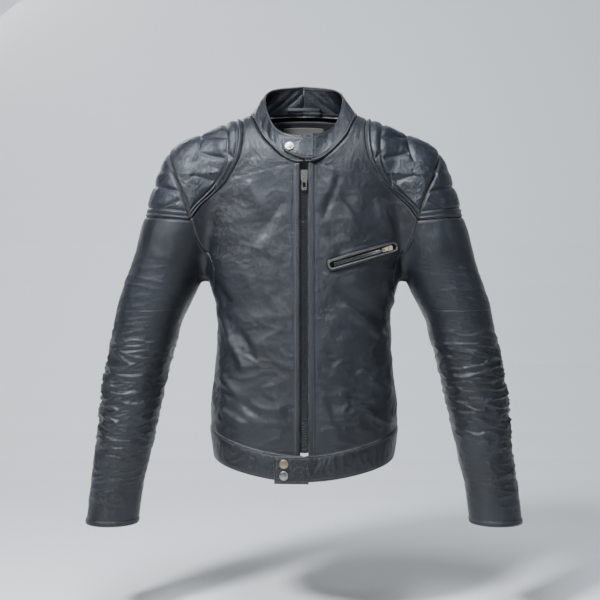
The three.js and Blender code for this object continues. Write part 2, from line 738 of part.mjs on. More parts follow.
// The pocket runs on an arc of the chest. s is the way along it, w across it and h out of the chest.
const slant = THREE.MathUtils.degToRad(pocketSlant);
const pocketMiddle = at(101.43, -87.57, -247.38);
const pocketAhead = new THREE.Vector3(Math.cos(slant), 0, Math.sin(slant));
const pocketAxis = new THREE.Vector3(Math.sin(slant), 0, -Math.cos(slant)); // the arc turns about this
const middleTurn = THREE.MathUtils.degToRad(19.65); // from straight ahead to the pocket's middle
const pocketOut = (turn) =>
  new THREE.Vector3(0, -Math.cos(turn), 0).addScaledVector(pocketAhead, Math.sin(turn));
const pocketCentre = pocketMiddle.clone().addScaledVector(pocketOut(middleTurn), -pocketRadius);
function pocketPoint(s, w, h = 0) {
  const out = pocketOut(middleTurn + s / pocketRadius);
  const point = pocketCentre.clone().addScaledVector(out, pocketRadius + h);
  return { point: point.addScaledVector(pocketAxis, -w), out };
}
const pocketSheet = (s0, s1, w0, w1) => (u, v) =>
  pocketPoint(THREE.MathUtils.lerp(s0, s1, u), THREE.MathUtils.lerp(w0, w1, v));
const halfPocket = pocketLength / 2;
const ringPoint = (grow) => (t) => {
  const straight = halfPocket - pocketSlot / 2;
  const radius = pocketSlot / 2 + grow;
  const turn = 2 * Math.PI * t;
  const end = Math.cos(turn) > 0 ? 1 : -1;
  const flat = Math.abs(Math.cos(turn)) < 0.35 ? Math.cos(turn) / 0.35 : end;
  return [straight * flat + radius * Math.cos(turn), radius * Math.sin(turn)];
};
const welt = (u, v) => {
  const [s0, w0] = ringPoint(0)(u);
  const [s1, w1] = ringPoint(pocketLip)(u);
  return pocketPoint(THREE.MathUtils.lerp(s0, s1, v), THREE.MathUtils.lerp(w0, w1, v));
};
const slotSurface = pocketSheet(-halfPocket, halfPocket, -pocketSlot / 2, pocketSlot / 2);
const slot = sheet(slotSurface, 12, 1, -9, 9, { gap: 0 });
add("front_left_panel", geometryOf(solidOf(panelLeft).subtract(solidOf(slot))), hide);
add("pocket_welt", sheet(welt, 36, 1, 2.8, 4.2, { round: true, gap: 0 }), hide);
const chain = halfPocket - 4;
const pocketChainHeight = -1.2;
const tapeHalf = pocketSlot / 2 - 0.6;
const pocketTape = sheet(pocketSheet(-chain, chain, -tapeHalf, tapeHalf), 12, 1, -4.6, -3.9, { gap: 0 });
add("pocket_tape", pocketTape, tapeCloth);
const chainSurface = pocketSheet(-chain, chain, -2.6, 2.6);
const pocketTeeth = sheet(chainSurface, 24, 1, pocketChainHeight - 2.4, pocketChainHeight, { gap: 0 });
add("pocket_teeth", pocketTeeth, bronze);
const bag = laid((u, v) => pocketPoint(
  THREE.MathUtils.lerp(-halfPocket + 6, halfPocket - 24, u), THREE.MathUtils.lerp(pocketBagDepth + 8, 8, v)).point);
add("pocket_bag", sheet(bag, 8, 6, -4.6, -3.2, { gap: 0 }), liningCloth);

function inPocket(geometry, s) {
  const { point, out } = pocketPoint(s, 0);
  const basis = new THREE.Matrix4().makeBasis(pocketAxis, out.clone().cross(pocketAxis), out).setPosition(point);
  return geometry.clone().applyMatrix4(basis);
}
// At rest the slider stands at the outer end of the pocket and its pull lies back along the chain.
const pocketSliderRest = chain - 8;
const smallPlate = block(8, 11, 1.2).translate(0, 0, pocketChainHeight + 0.5 + 0.6);
const smallCrown = block(2.2, 6, 2.6).translate(0, -1, pocketChainHeight + 2.9);
const smallBore = new THREE.CylinderGeometry(0.9, 0.9, 6, 12).rotateZ(Math.PI / 2);
smallBore.translate(0, -2, pocketChainHeight + 3.1);
const pocketSlider = solidOf(smallPlate).add(solidOf(smallCrown)).subtract(solidOf(smallBore));
add("pocket_slider", inPocket(geometryOf(pocketSlider), pocketSliderRest), bronze);
const smallPull = solidOf(block(6.4, 16.5, 1.1).translate(0, -7.25, 0))
  .subtract(solidOf(block(2.8, 7.4, 3).translate(0, -0.4, 0)))
  .subtract(solidOf(block(2.4, 3, 3).translate(0, -12.5, 0)))
  .add(solidOf(new THREE.CylinderGeometry(0.65, 0.65, 5, 12).rotateZ(Math.PI / 2)));
const smallPullMesh = geometryOf(smallPull).translate(0, -2, pocketChainHeight + 3.1);
add("pocket_pull", inPocket(smallPullMesh, pocketSliderRest), bronze);

// ---------------------------------------------------------------- sleeves

// Round the top of the sleeve's tube from its outer side: the head's lower seam, then under the arm.
const armTop = joined([6, headFront], [3, backwards(armholeFrontLow)], [3, armholeBackLow], [6, headBack]);
const armRing = (level) => (t) => {
  const [cx, cy, rx, ry] = [1, 2, 3, 4].map((c) => section(sleeveSections, level, c));
  return at(cx + rx * Math.cos(2 * Math.PI * t), cy - ry * Math.sin(2 * Math.PI * t), level);
};
const upperArm = laid((u, v) => mix(armRing(elbowLevel)(u), armTop(u), v));
const lowerArm = laid((u, v) => {
  const level = cuffLevel + (elbowLevel - cuffLevel) * v;
  return armRing(level)(u);
});
const headSeam = joined([6, backwards(headFront)], [6, backwards(headBack)]);
const sleeveHead = laid(between(quiltOuter, headSeam));
for (const [side, turn] of [["left", (s) => s], ["right", mirrored]]) {
  add(`sleeve_${side}_quilt`, sheet(turn(sleeveHead), 4, 12, -leather, quilt - leather, quiltEnds), hide);
  const tube = { round: true, gap: elbowGap / 2 };
  const hang = [-liningHang - liningThickness, -liningHang, { round: true, gap: 4 }];
  add(`sleeve_${side}_upper`, sheet(turn(upperArm), 18, 6, -leather, 0, tube), hide);
  add(`sleeve_${side}_upper_lining`, sheet(turn(upperArm), 18, 6, ...hang), liningCloth);
  add(`sleeve_${side}_lower`, sheet(turn(lowerArm), 18, 6, -leather, 0, tube), hide);
  add(`sleeve_${side}_lower_lining`, sheet(turn(lowerArm), 18, 4, ...hang), liningCloth);
}

// ---------------------------------------------------------------- hanger loop and neck patch

const loopLevel = 16;
const collarInside = collarFoot(1).clone().lerp(collarRim(1), 0.1).y - 2.6;
const loopShape = new THREE.Shape();
const [lx, ly, lt] = [loopLength / 2, -loopReach, loopThickness];
loopShape.moveTo(-lx, 0).lineTo(-lx, ly).lineTo(lx, ly).lineTo(lx, 0);
loopShape.lineTo(lx - lt, 0).lineTo(lx - lt, ly + lt).lineTo(-lx + lt, ly + lt).lineTo(-lx + lt, 0);
const loopBar = new THREE.ExtrudeGeometry(loopShape, { depth: loopHeight, bevelEnabled: false });
loopBar.translate(0, collarInside - 6, loopLevel);
add("hanger_loop", loopBar, hide);
const { lerp } = THREE.MathUtils;
const patchSurface = laid((u, v) => at(lerp(-38, 38, u), 84, lerp(-42, -4, v)));
add("neck_patch", sheet(patchSurface, 6, 3, -12.4, -11, { gap: 0 }), hide);

export default jacket;
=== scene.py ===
"""A worn leather riding jacket, closed, hanging as it does on a dress form."""
import math
from types import SimpleNamespace

import bmesh
import bpy
import numpy as np
from mathutils import Matrix, Vector


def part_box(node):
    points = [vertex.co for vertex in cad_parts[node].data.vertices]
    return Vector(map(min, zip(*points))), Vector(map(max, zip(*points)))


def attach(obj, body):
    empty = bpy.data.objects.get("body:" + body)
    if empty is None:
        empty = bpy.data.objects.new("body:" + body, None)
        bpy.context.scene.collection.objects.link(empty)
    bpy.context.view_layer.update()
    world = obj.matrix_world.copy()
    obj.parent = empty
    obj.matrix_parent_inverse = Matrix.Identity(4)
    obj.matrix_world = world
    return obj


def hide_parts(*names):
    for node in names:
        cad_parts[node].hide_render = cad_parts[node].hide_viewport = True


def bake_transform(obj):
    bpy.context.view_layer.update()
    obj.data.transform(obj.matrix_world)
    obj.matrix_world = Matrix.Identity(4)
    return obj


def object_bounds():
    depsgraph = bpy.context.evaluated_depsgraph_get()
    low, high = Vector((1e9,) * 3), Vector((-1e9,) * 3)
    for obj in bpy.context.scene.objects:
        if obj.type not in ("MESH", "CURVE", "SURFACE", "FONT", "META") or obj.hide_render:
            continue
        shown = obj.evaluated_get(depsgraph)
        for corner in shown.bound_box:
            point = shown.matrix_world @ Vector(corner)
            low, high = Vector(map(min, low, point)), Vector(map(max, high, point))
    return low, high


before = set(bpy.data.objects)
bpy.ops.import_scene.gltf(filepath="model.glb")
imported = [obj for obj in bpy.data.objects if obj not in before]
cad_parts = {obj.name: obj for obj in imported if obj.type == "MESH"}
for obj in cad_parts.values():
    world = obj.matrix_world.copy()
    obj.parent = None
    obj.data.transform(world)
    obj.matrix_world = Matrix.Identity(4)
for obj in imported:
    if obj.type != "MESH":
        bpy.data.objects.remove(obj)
cad_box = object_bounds()

# ---- Studio ------------------------------------------------------------------------------------
# A pale floor that curves up into a backdrop, a large soft key light from the upper left, a strip
# light that rakes the right sleeve, and a camera level with the middle of the jacket.
camera_place = Vector((-0.007, -2.0, -0.322))
camera = bpy.data.objects.new("camera", bpy.data.cameras.new("camera"))
bpy.context.collection.objects.link(camera)
camera.location = camera_place
camera.rotation_euler = (math.radians(90), 0, 0)
camera.data.angle = 2 * math.atan(0.525 / 2.0)
bpy.context.scene.camera = camera


def soft_light(name, place, target, size, power, colour):
    light = bpy.data.lights.new(name, "AREA")
    light.shape, light.size, light.energy, light.color = "DISK", size, power, colour
    lamp = bpy.data.objects.new(name, light)
    bpy.context.collection.objects.link(lamp)
    lamp.location = place
    lamp.rotation_euler = (Vector(target) - Vector(place)).to_track_quat("-Z", "Y").to_euler()


soft_light("key", (-1.1, -1.5, 1.35), (0, 0, -0.2), 0.45, 110, (0.90, 0.95, 1.0))
soft_light("right_strip", (1.9, -0.9, 0.5), (0.1, 0, -0.35), 0.6, 8, (0.82, 0.90, 1.0))
soft_light("fill", (0.5, -2.6, -0.1), (0, 0, -0.35), 1.4, 1, (0.8, 0.9, 1.0))
soft_light("top", (-0.2, -0.7, 1.35), (0, 0, -0.1), 0.7, 38, (0.76, 0.87, 1.0))
soft_light("back", (-0.8, 2.2, 0.7), (0, 0, -0.3), 1.2, 30, (1.0, 1.0, 1.0))
world = bpy.data.worlds.new("studio")
world.use_nodes = True
world.node_tree.nodes["Background"].inputs["Color"].default_value = (0.62, 0.72, 0.88, 1)
world.node_tree.nodes["Background"].inputs["Strength"].default_value = 0.065
bpy.context.scene.world = world

floor_level = cad_box[0][2] - 0.16
sweep = bmesh.new()
edge = [sweep.verts.new((-6, y, floor_level + z)) for y, z in [(-5, 0), (1.2, 0)]]
edge += [
    sweep.verts.new((-6, 1.2 + 0.9 * math.sin(a), floor_level + 0.9 * (1 - math.cos(a))))
    for a in [math.radians(d) for d in range(10, 91, 10)]
]
edge.append(sweep.verts.new((-6, 2.1, floor_level + 4)))
rail = [sweep.edges.new(pair) for pair in zip(edge, edge[1:])]
pulled = bmesh.ops.extrude_edge_only(sweep, edges=rail)["geom"]
bmesh.ops.translate(sweep, verts=[v for v in pulled if isinstance(v, bmesh.types.BMVert)], vec=(12, 0, 0))
backdrop_mesh = bpy.data.meshes.new("backdrop")
sweep.to_mesh(backdrop_mesh)
backdrop = bpy.data.objects.new("backdrop", backdrop_mesh)
bpy.context.collection.objects.link(backdrop)
paper = bpy.data.materials.new("pale_paper")
paper.use_nodes = True
paper.node_tree.nodes["Principled BSDF"].inputs["Base Color"].default_value = (0.86, 0.86, 0.85, 1)
paper.node_tree.nodes["Principled BSDF"].inputs["Roughness"].default_value = 0.9
backdrop_mesh.materials.append(paper)


# ---- Black cowhide -----------------------------------------------------------------------------
# Aniline-dyed hide, waxed and worn: pebbled grain with finer creases between the pebbles, cloudy
# gloss, and brown-grey rubbed edges wherever the panels carry a "wear" value.
def group(name, inputs, outputs):
    tree = bpy.data.node_groups.new(name, "ShaderNodeTree")
    for label, kind, value in inputs:
        tree.interface.new_socket(label, in_out="INPUT", socket_type=kind).default_value = value
    for label, kind in outputs:
        tree.interface.new_socket(label, in_out="OUTPUT", socket_type=kind)
    return tree, tree.nodes.new("NodeGroupInput"), tree.nodes.new("NodeGroupOutput")


def node(tree, kind, links=(), **values):
    """A node with its properties and unlinked inputs set, and its linked inputs joined up."""
    made = tree.nodes.new(kind)
    for key, value in values.items():
        if hasattr(made, key) and key not in made.inputs:
            setattr(made, key, value)
        else:
            made.inputs[key].default_value = value
    for key, source in dict(links).items():
        tree.links.new(source, made.inputs[key])
    return made


def ramp(tree, source, *stops):
    made = node(tree, "ShaderNodeValToRGB", {"Fac": source})
    for i, (place, colour) in enumerate(stops):
        stop = made.color_ramp.elements[i] if i < 2 else made.color_ramp.elements.new(place)
        stop.position, stop.color = place, colour if len(colour) == 4 else (*colour, 1)
    return made.outputs["Color"]


grey = lambda v: (v, v, v)

grain, grain_in, grain_out = group(
    "hide_grain",
    [("Scale", "NodeSocketFloat", 1.0), ("Wear", "NodeSocketFloat", 0.0)],
    [("Height", "NodeSocketFloat"), ("Gloss", "NodeSocketFloat"), ("Rubbed", "NodeSocketFloat"),
     ("Cloud", "NodeSocketFloat")],
)
place = grain.nodes.new("ShaderNodeTexCoord").outputs["Object"]
scaled = node(grain, "ShaderNodeVectorMath", {0: place, "Scale": grain_in.outputs["Scale"]},
    operation="SCALE")
at = scaled.outputs["Vector"]
wobble = node(grain, "ShaderNodeTexNoise", {"Vector": at}, Scale=260.0, Detail=2.0)
shifted = node(grain, "ShaderNodeVectorMath", {0: wobble.outputs["Color"], 2: at},
    operation="MULTIPLY_ADD")
shifted.inputs[1].default_value = (0.0016, 0.0016, 0.0016)
pebbles = node(grain, "ShaderNodeTexVoronoi", {"Vector": shifted.outputs["Vector"]}, Scale=760.0,
               feature="DISTANCE_TO_EDGE")
pebble = ramp(grain, pebbles.outputs["Distance"], (0.0, grey(0)), (0.22, grey(1)))
pores = node(grain, "ShaderNodeTexNoise", {"Vector": at}, Scale=1900.0, Detail=3.0)
creases = node(grain, "ShaderNodeTexVoronoi", {"Vector": shifted.outputs["Vector"]}, Scale=150.0,
               feature="DISTANCE_TO_EDGE")
crease = ramp(grain, creases.outputs["Distance"], (0.0, grey(0)), (0.09, grey(1)))
clouds = node(grain, "ShaderNodeTexNoise", {"Vector": at}, Scale=11.0, Detail=6.0, Roughness=0.62)
patchy = ramp(grain, clouds.outputs["Fac"], (0.38, grey(0)), (0.66, grey(1)))
deep = node(grain, "ShaderNodeMath", {0: crease, 1: patchy}, operation="MULTIPLY")
low = node(grain, "ShaderNodeMath", {0: pebble}, operation="MULTIPLY")
low.inputs[1].default_value = 0.5
mid = node(grain, "ShaderNodeMath", {0: deep.outputs[0], 2: low.outputs[0]}, operation="MULTIPLY_ADD")
mid.inputs[1].default_value = 0.35
high = node(grain, "ShaderNodeMath", {0: pores.outputs["Fac"], 2: mid.outputs[0]},
    operation="MULTIPLY_ADD")
high.inputs[1].default_value = 0.35
ragged = node(grain, "ShaderNodeTexNoise", {"Vector": at}, Scale=90.0, Detail=5.0, Roughness=0.7)
torn = node(grain, "ShaderNodeMath", {0: ragged.outputs["Fac"], 1: grain_in.outputs["Wear"]},
    operation="MULTIPLY")
rubbed = ramp(grain, torn.outputs[0], (0.28, grey(0)), (0.52, grey(1)))
gloss = ramp(grain, clouds.outputs["Fac"], (0.3, grey(0.31)), (0.72, grey(0.48)))
grain.links.new(high.outputs[0], grain_out.inputs["Height"])
grain.links.new(gloss, grain_out.inputs["Gloss"])
grain.links.new(rubbed, grain_out.inputs["Rubbed"])
grain.links.new(patchy, grain_out.inputs["Cloud"])


def hide_material(name, dark, light, rubbed_colour, bump=0.5, scale=1.0):
    made = bpy.data.materials.new(name)
    made.use_nodes = True
    tree = made.node_tree
    leather = tree.nodes["Principled BSDF"]
    wear = node(tree, "ShaderNodeAttribute", attribute_name="wear").outputs["Fac"]
    skin = node(tree, "ShaderNodeGroup", node_tree=grain)
    skin.inputs["Scale"].default_value = scale
    tree.links.new(wear, skin.inputs["Wear"])
    dyed = node(tree, "ShaderNodeMix", {"Factor": skin.outputs["Cloud"]}, data_type="RGBA")
    dyed.inputs["A"].default_value, dyed.inputs["B"].default_value = (*dark, 1), (*light, 1)
    worn = node(tree, "ShaderNodeMix", {"Factor": skin.outputs["Rubbed"]}, data_type="RGBA")
    tree.links.new(dyed.outputs["Result"], worn.inputs["A"])
    worn.inputs["B"].default_value = (*rubbed_colour, 1)
    dull = node(tree, "ShaderNodeMath", {0: skin.outputs["Rubbed"], 2: skin.outputs["Gloss"]},
                operation="MULTIPLY_ADD")
    dull.inputs[1].default_value = 0.2
    raised = node(tree, "ShaderNodeBump", {"Height": skin.outputs["Height"]}, Strength=bump,
        Distance=0.0004)
    tree.links.new(worn.outputs["Result"], leather.inputs["Base Color"])
    tree.links.new(dull.outputs[0], leather.inputs["Roughness"])
    tree.links.new(raised.outputs["Normal"], leather.inputs["Normal"])
    leather.inputs["IOR"].default_value = 1.52
    leather.inputs["Coat Weight"].default_value = 0.1
    leather.inputs["Coat Roughness"].default_value = 0.3
    return made


hide = hide_material("black_hide", (0.0030, 0.0036, 0.0058), (0.0070, 0.0086, 0.0135),
    (0.105, 0.088, 0.074), 0.8)
# The quilted shoulders and sleeve heads use a lighter, bluer copy of the same black hide. This is painted
# light, standing in for the sheen these top panels catch from above.
quilted_hide = hide_material("quilted_hide", (0.0042, 0.0053, 0.0088), (0.0105, 0.0130, 0.0210),
    (0.10, 0.086, 0.074), 0.8)


# ---- The jacket's own form ---------------------------------------------------------------------
# Every panel is shaped on one closed form, in millimetres: slices of the body, of the arm and a ball
# at the shoulder, run into one another. Seams are curves near it that are laid onto it.
# Slices of the body: level, half width, depth of the front, depth of the back.
body_slices = np.array([
    (40, 40, 14, 50), (25, 55, 20, 60), (12, 74, 24, 72), (0, 94, 34, 80), (-14, 126, 52, 87),
    (-35, 170, 68, 94), (-60, 192, 80, 101), (-90, 192, 88, 108), (-150, 186, 92, 114),
    (-200, 180, 96, 117), (-268, 171.5, 100.5, 118), (-300, 160.5, 102.7, 115), (-335, 151.5, 105.2, 111),
    (-400, 150.5, 109.7, 105), (-453, 155, 113.4, 104), (-500, 160.5, 116.7, 107),
        (-545, 161, 119.9, 110),
    (-600, 154, 123.7, 113), (-660, 152, 128, 114),
], float)
# Slices of the arm: level, middle x, middle y, half width, half depth.
arm_slices = np.array([
    (-60, 176, 2, 62, 66), (-108, 186, 2, 63, 68), (-134, 195, 2, 66.5, 73), (-161, 204, 2, 67, 77),
    (-196, 217, 2, 67, 79), (-235, 228, 2, 66, 79), (-268, 238, 2, 66, 76), (-312, 255, 1, 64.5, 72),
    (-359, 271.5, 0, 58.5, 67), (-397, 279.5, -2, 57.5, 65), (-453, 292, -6, 55, 62),
        (-500, 300, -10, 53, 59),
    (-577, 312.5, -16, 49, 55), (-628, 321, -21, 46, 51), (-690, 329, -26, 45, 49),
        (-740, 336, -30, 45, 49),
], float)
shoulder_ball = (186, -108, 62)
front_top, front_depth_there, front_slope = -90, 88, 0.0701


def slice_at(table, level, column):
    """A column of a table at some levels, on a smooth curve through its rows."""
    z, y = table[::-1, 0], table[::-1, column]
    level = np.clip(level, z[0], z[-1])
    i = np.clip(np.searchsorted(z, level, side="right") - 1, 0, len(z) - 2)
    step = np.diff(z)
    rise = np.diff(y) / step
    slope = np.concatenate([[rise[0]], (rise[1:] + rise[:-1]) / 2, [rise[-1]]])
    t = (level - z[i]) / step[i]
    return ((2 * t**3 - 3 * t**2 + 1) * y[i] + (t**3 - 2 * t**2 + t) * step[i] * slope[i]
            + (3 * t**2 - 2 * t**3) * y[i + 1] + (t**3 - t**2) * step[i] * slope[i + 1])


def front_depth(level):
    level = np.asarray(level, float)
    return np.where(level < front_top, front_depth_there + front_slope * (front_top - level),
                    slice_at(body_slices, level, 2))


def run_together(a, b, size=20):
    h = np.maximum(size - np.abs(a - b), 0) / size
    return np.minimum(a, b) - h * h * size / 4


def outside(p):
    x, y, z = np.abs(p[:, 0]), p[:, 1], p[:, 2]
    wide = slice_at(body_slices, z, 1)
    deep = np.where(y < 0, front_depth(z), slice_at(body_slices, z, 3))
    body = ((x / wide) ** 2.4 + np.abs(y / deep) ** 2.4) ** (1 / 2.4) - 1
    cx, cy, rx, ry = (slice_at(arm_slices, z, c) for c in (1, 2, 3, 4))
    arm = (np.hypot((x - cx) / rx, (y - cy) / ry) - 1) * np.minimum(rx, ry)
    arm = arm + np.maximum(0, z - shoulder_ball[1])
    ball = np.sqrt((x - shoulder_ball[0]) ** 2 + y**2 + (z - shoulder_ball[1]) ** 2) - shoulder_ball[2]
    return run_together(run_together(body * np.minimum(wide, deep), arm), ball)


def slope(p):
    steps = np.eye(3) * 0.05
    return np.stack([(outside(p + s) - outside(p - s)) / 0.1 for s in steps], 1)


def laid(p):
    """Points moved onto the form, and the way straight out of it there."""
    p = np.array(p, float)
    for _ in range(8):
        g = slope(p)
        p = p - g * (outside(p) / (g * g).sum(1))[:, None]
    g = slope(p)
    return p, g / np.linalg.norm(g, axis=1)[:, None]


def route(points):
    """A smooth curve through points, called with shares of its length."""
    p = np.array(points, float)
    p = np.vstack([2 * p[0] - p[1], p, 2 * p[-1] - p[-2]])
    dense = [p[1]]
    for a, b, c, d in zip(p, p[1:], p[2:], p[3:]):
        k = [0.0]
        for one, two in ((a, b), (b, c), (c, d)):
            k.append(k[-1] + max(np.linalg.norm(two - one), 1e-6) ** 0.5)
        for t in np.linspace(k[1], k[2], 25)[1:]:
            ab, bc, cd = ((k[i + 1] - t) / (k[i + 1] - k[i]) * u + (t - k[i]) / (k[i + 1] - k[i]) * v
                          for i, (u, v) in enumerate(((a, b), (b, c), (c, d))))
            first = (k[2] - t) / (k[2] - k[0]) * ab + (t - k[0]) / (k[2] - k[0]) * bc
            second = (k[3] - t) / (k[3] - k[1]) * bc + (t - k[1]) / (k[3] - k[1]) * cd
            dense.append((k[2] - t) / (k[2] - k[1]) * first + (t - k[1]) / (k[2] - k[1]) * second)
    dense = np.array(dense)
    far = np.concatenate([[0], np.cumsum(np.linalg.norm(np.diff(dense, axis=0), axis=1))])
    return lambda t: np.stack([np.interp(np.clip(t, 0, 1) * far[-1], far, dense[:, i]) for i in range(3)],
        -1)


def joined(*legs):
    """Several routes end to end, each with its share of the way."""
    whole = sum(share for share, _ in legs)

    def run(t):
        t = np.asarray(t, float) * whole
        out, start = np.zeros((*t.shape, 3)), 0
        for i, (share, leg) in enumerate(legs):
            here = (t >= start - 1e-9) & ((t <= start + share) | (i == len(legs) - 1))
            out[here] = leg((t[here] - start) / share)
            start += share
        return out
    return run


def backwards(curve):
    return lambda t: curve(1 - np.asarray(t, float))


def reflected(curve):
    return lambda t: curve(t) * (-1, 1, 1)


def patch(bottom, top, left, right):
    """A surface between four seams that meet at their ends."""
    def run(u, v):
        U, V = u[:, None], v[:, None]
        zero, one = np.zeros(1), np.ones(1)
        corners = (bottom(zero) * (1 - U) + bottom(one) * U) * (1 - V) + (top(zero) * (1 - U)
            + top(one) * U) * V
        return bottom(u) * (1 - V) + top(u) * V + left(v) * (1 - U) + right(v) * U - corners
    return run


def between(first, second):
    return lambda u, v: first(v) * (1 - u[:, None]) + second(v) * u[:, None]


zip_edge = 6.4
zip_head = -92


def waist_seam(angle):
    return -541 - np.where(angle < np.pi / 2, 39, 9) * np.cos(angle) ** 2


def hem_level(angle):
    return -592 + np.where(angle < np.pi / 2, -29, -13) * np.cos(angle) ** 2


def body_point(angle, level):
    angle, level = np.broadcast_arrays(np.asarray(angle, float), np.asarray(level, float))
    deep = np.where(angle < np.pi / 2, front_depth(level), slice_at(body_slices, level, 3))
    return np.stack([slice_at(body_slices, level, 1) * np.sin(angle), -deep * np.cos(angle), level], -1)


def front_point(x, level):
    wide = slice_at(body_slices, np.asarray(level, float), 1)
    return body_point(np.arcsin(np.clip(x / wide, -0.999, 0.999)), level)


corner_front, corner_back = (189, -80, -188), (192, 88, -188)
armpit, shoulder_tip, quilt_top, neck_side = (165, 0, -272), (227, 0, -71), (107, 0, -10), (90, 0, 0)
armhole_front_top = route([corner_front, (208, -62, -135), (222, -34, -92), shoulder_tip])
armhole_back_top = route([shoulder_tip, (222, 36, -92), (210, 66, -135), corner_back])
armhole_front_low = route([armpit, (166, -36, -262), (174, -68, -236), corner_front])
armhole_back_low = route([armpit, (167, 40, -262), (176, 76, -236), corner_back])
head_front = route([(279, 2, -178), (262, -52, -180), (225, -80, -184), corner_front])
head_back = route([corner_back, (228, 84, -184), (264, 55, -180), (279, 2, -178)])
quilt_front = route([corner_front, (173, -84, -165), (150, -88, -138), (132, -88, -115), (113, -82, -87),
                     (104, -66, -60), (101, -40, -34), quilt_top])
quilt_back = route([quilt_top, (104, 45, -30), (108, 75, -60), (122, 95, -95), (145, 104, -130),
                    (172, 100, -162), corner_back])
neck_front = [(34, -84, -82), (55, -74, -64), (71, -60, -46), (82, -32, -22), neck_side]
neck_back = [neck_side, (84, 36, 6), (58, 62, 10), (0, 74, 12)]
side_seam = route([*(body_point(np.pi / 2, z) for z in (-541, -500, -453, -400, -335, -300)), armpit])
panel_side = joined((7, side_seam), (3, armhole_front_low), (6, quilt_front))
back_side = joined((7, side_seam), (3, armhole_back_low))


def zip_line(t):
    return front_point(zip_edge, -580 + (zip_head + 580) * np.asarray(t, float))


zip_foot = math.asin(zip_edge / 155)
front_inner = joined((12, zip_line), (4, route([tuple(front_point(zip_edge, -92)), *neck_front])))


def waist_line(t):
    angle = zip_foot + (np.pi / 2 - zip_foot) * np.asarray(t, float)
    return body_point(angle, waist_seam(angle))


front_surface = patch(waist_line, route([neck_side, quilt_top]), front_inner, panel_side)


# ---- How a panel is made -----------------------------------------------------------------------
# A grid is laid on the form, raised or sunk by the panel's own relief, and given the hide's thickness
# inwards. Its relief gets, in millimetres, each point's distance from the panel's four edges.
ways = np.random.default_rng(11).normal(size=(4096, 3))
ways /= np.linalg.norm(ways, axis=1)[:, None]


def wave(p, size, seed=0.0):
    """Smooth noise over points, between about -1 and 1, with bumps of this size in millimetres."""
    q = p / size + np.array((seed, -seed, 2 * seed)) * 3.7
    cell = np.floor(q).astype(np.int64)
    f = q - cell
    ease = f**3 * (f * (f * 6 - 15) + 10)
    total = np.zeros(len(p))
    for corner in np.ndindex(2, 2, 2):
        c = cell + corner
        pick = (c[:, 0] * 73856093 ^ c[:, 1] * 19349663 ^ c[:, 2] * 83492791) % len(ways)
        share = np.prod(np.where(corner, ease, 1 - ease), axis=1)
        total += share * (ways[pick] * (f - corner)).sum(1)
    return total * 1.6


def wrinkles(p, size, seed=0.0, stretch=(1, 1, 1)):
    """Sharp-topped wrinkles, 0 to 1, longer along the axes whose stretch is larger."""
    q = p / np.array(stretch)
    bent = q + 0.5 * size * np.stack([wave(q, size * 2.2, seed + s) for s in (3.1, 7.7, 12.3)], 1)
    return (1 - np.abs(wave(bent, size, seed)) * 2.2).clip(0, 1) ** 2


def crease(p, ends, width, height, plane=(0, 2)):
    """A soft fold along a line, seen from the front: highest in its middle, gone at its ends."""
    q, a, b = p[:, plane], np.array(ends[0], float), np.array(ends[1], float)
    t = ((q - a) @ (b - a)) / ((b - a) @ (b - a))
    off = np.linalg.norm(q - (a + np.clip(t, 0, 1)[:, None] * (b - a)), axis=1)
    return height * np.exp(-((off / width) ** 2)) * np.clip(1 - (2 * t - 1) ** 4, 0, 1)


def seam_dip(*distances, depth=2.2, width=2.6):
    """Leather rolling down into its seams."""
    nearest = np.minimum.reduce(distances)
    return -depth * np.exp(-nearest / width) + 0.5 * np.exp(-(((nearest - 5) / 3) ** 2))


def grid_on(surface, across, along, side=1, on_form=True):
    """A bmesh grid on a surface, with what its relief needs to know."""
    bm = bmesh.new()
    bmesh.ops.create_grid(bm, x_segments=across, y_segments=along, size=1)
    flat = np.array([v.co for v in bm.verts])
    u, v = (flat[:, 0] + 1) / 2, (flat[:, 1] + 1) / 2
    if on_form:
        p, out = laid(surface(u, v))
    else:
        p = surface(u, v)
        e = 1e-3
        du = surface(np.minimum(u + e, 1), v) - surface(np.maximum(u - e, 0), v)
        dv = surface(u, np.minimum(v + e, 1)) - surface(u, np.maximum(v - e, 0))
        out = np.cross(du, dv)
        out /= np.linalg.norm(out, axis=1)[:, None]
        out *= np.where((out[:, 0] * p[:, 0] + out[:, 1] * p[:, 1]) < 0, -1, 1)[:, None]
    p, out = p * (side, 1, 1), out * (side, 1, 1)
    order = np.lexsort((u.round(6), v.round(6)))
    rows = p[order].reshape(along + 1, across + 1, 3)
    g = SimpleNamespace(bm=bm, p=p, out=out, u=u, v=v, side=side, across=across, along=along, order=order)

    def gone(axis):
        step = np.linalg.norm(np.diff(rows, axis=axis), axis=2)
        far = np.concatenate([np.zeros_like(step.take([0], axis)), np.cumsum(step, axis)], axis)
        start, end = np.empty(len(p)), np.empty(len(p))
        start[order], end[order] = far.ravel(), (far.take([-1], axis) - far).ravel()
        return start, end
    g.left, g.right = gone(1)
    g.bottom, g.top = gone(0)
    return g


one_layer, two_layers, quilt_layers = 1.6, 2.3, 2.4


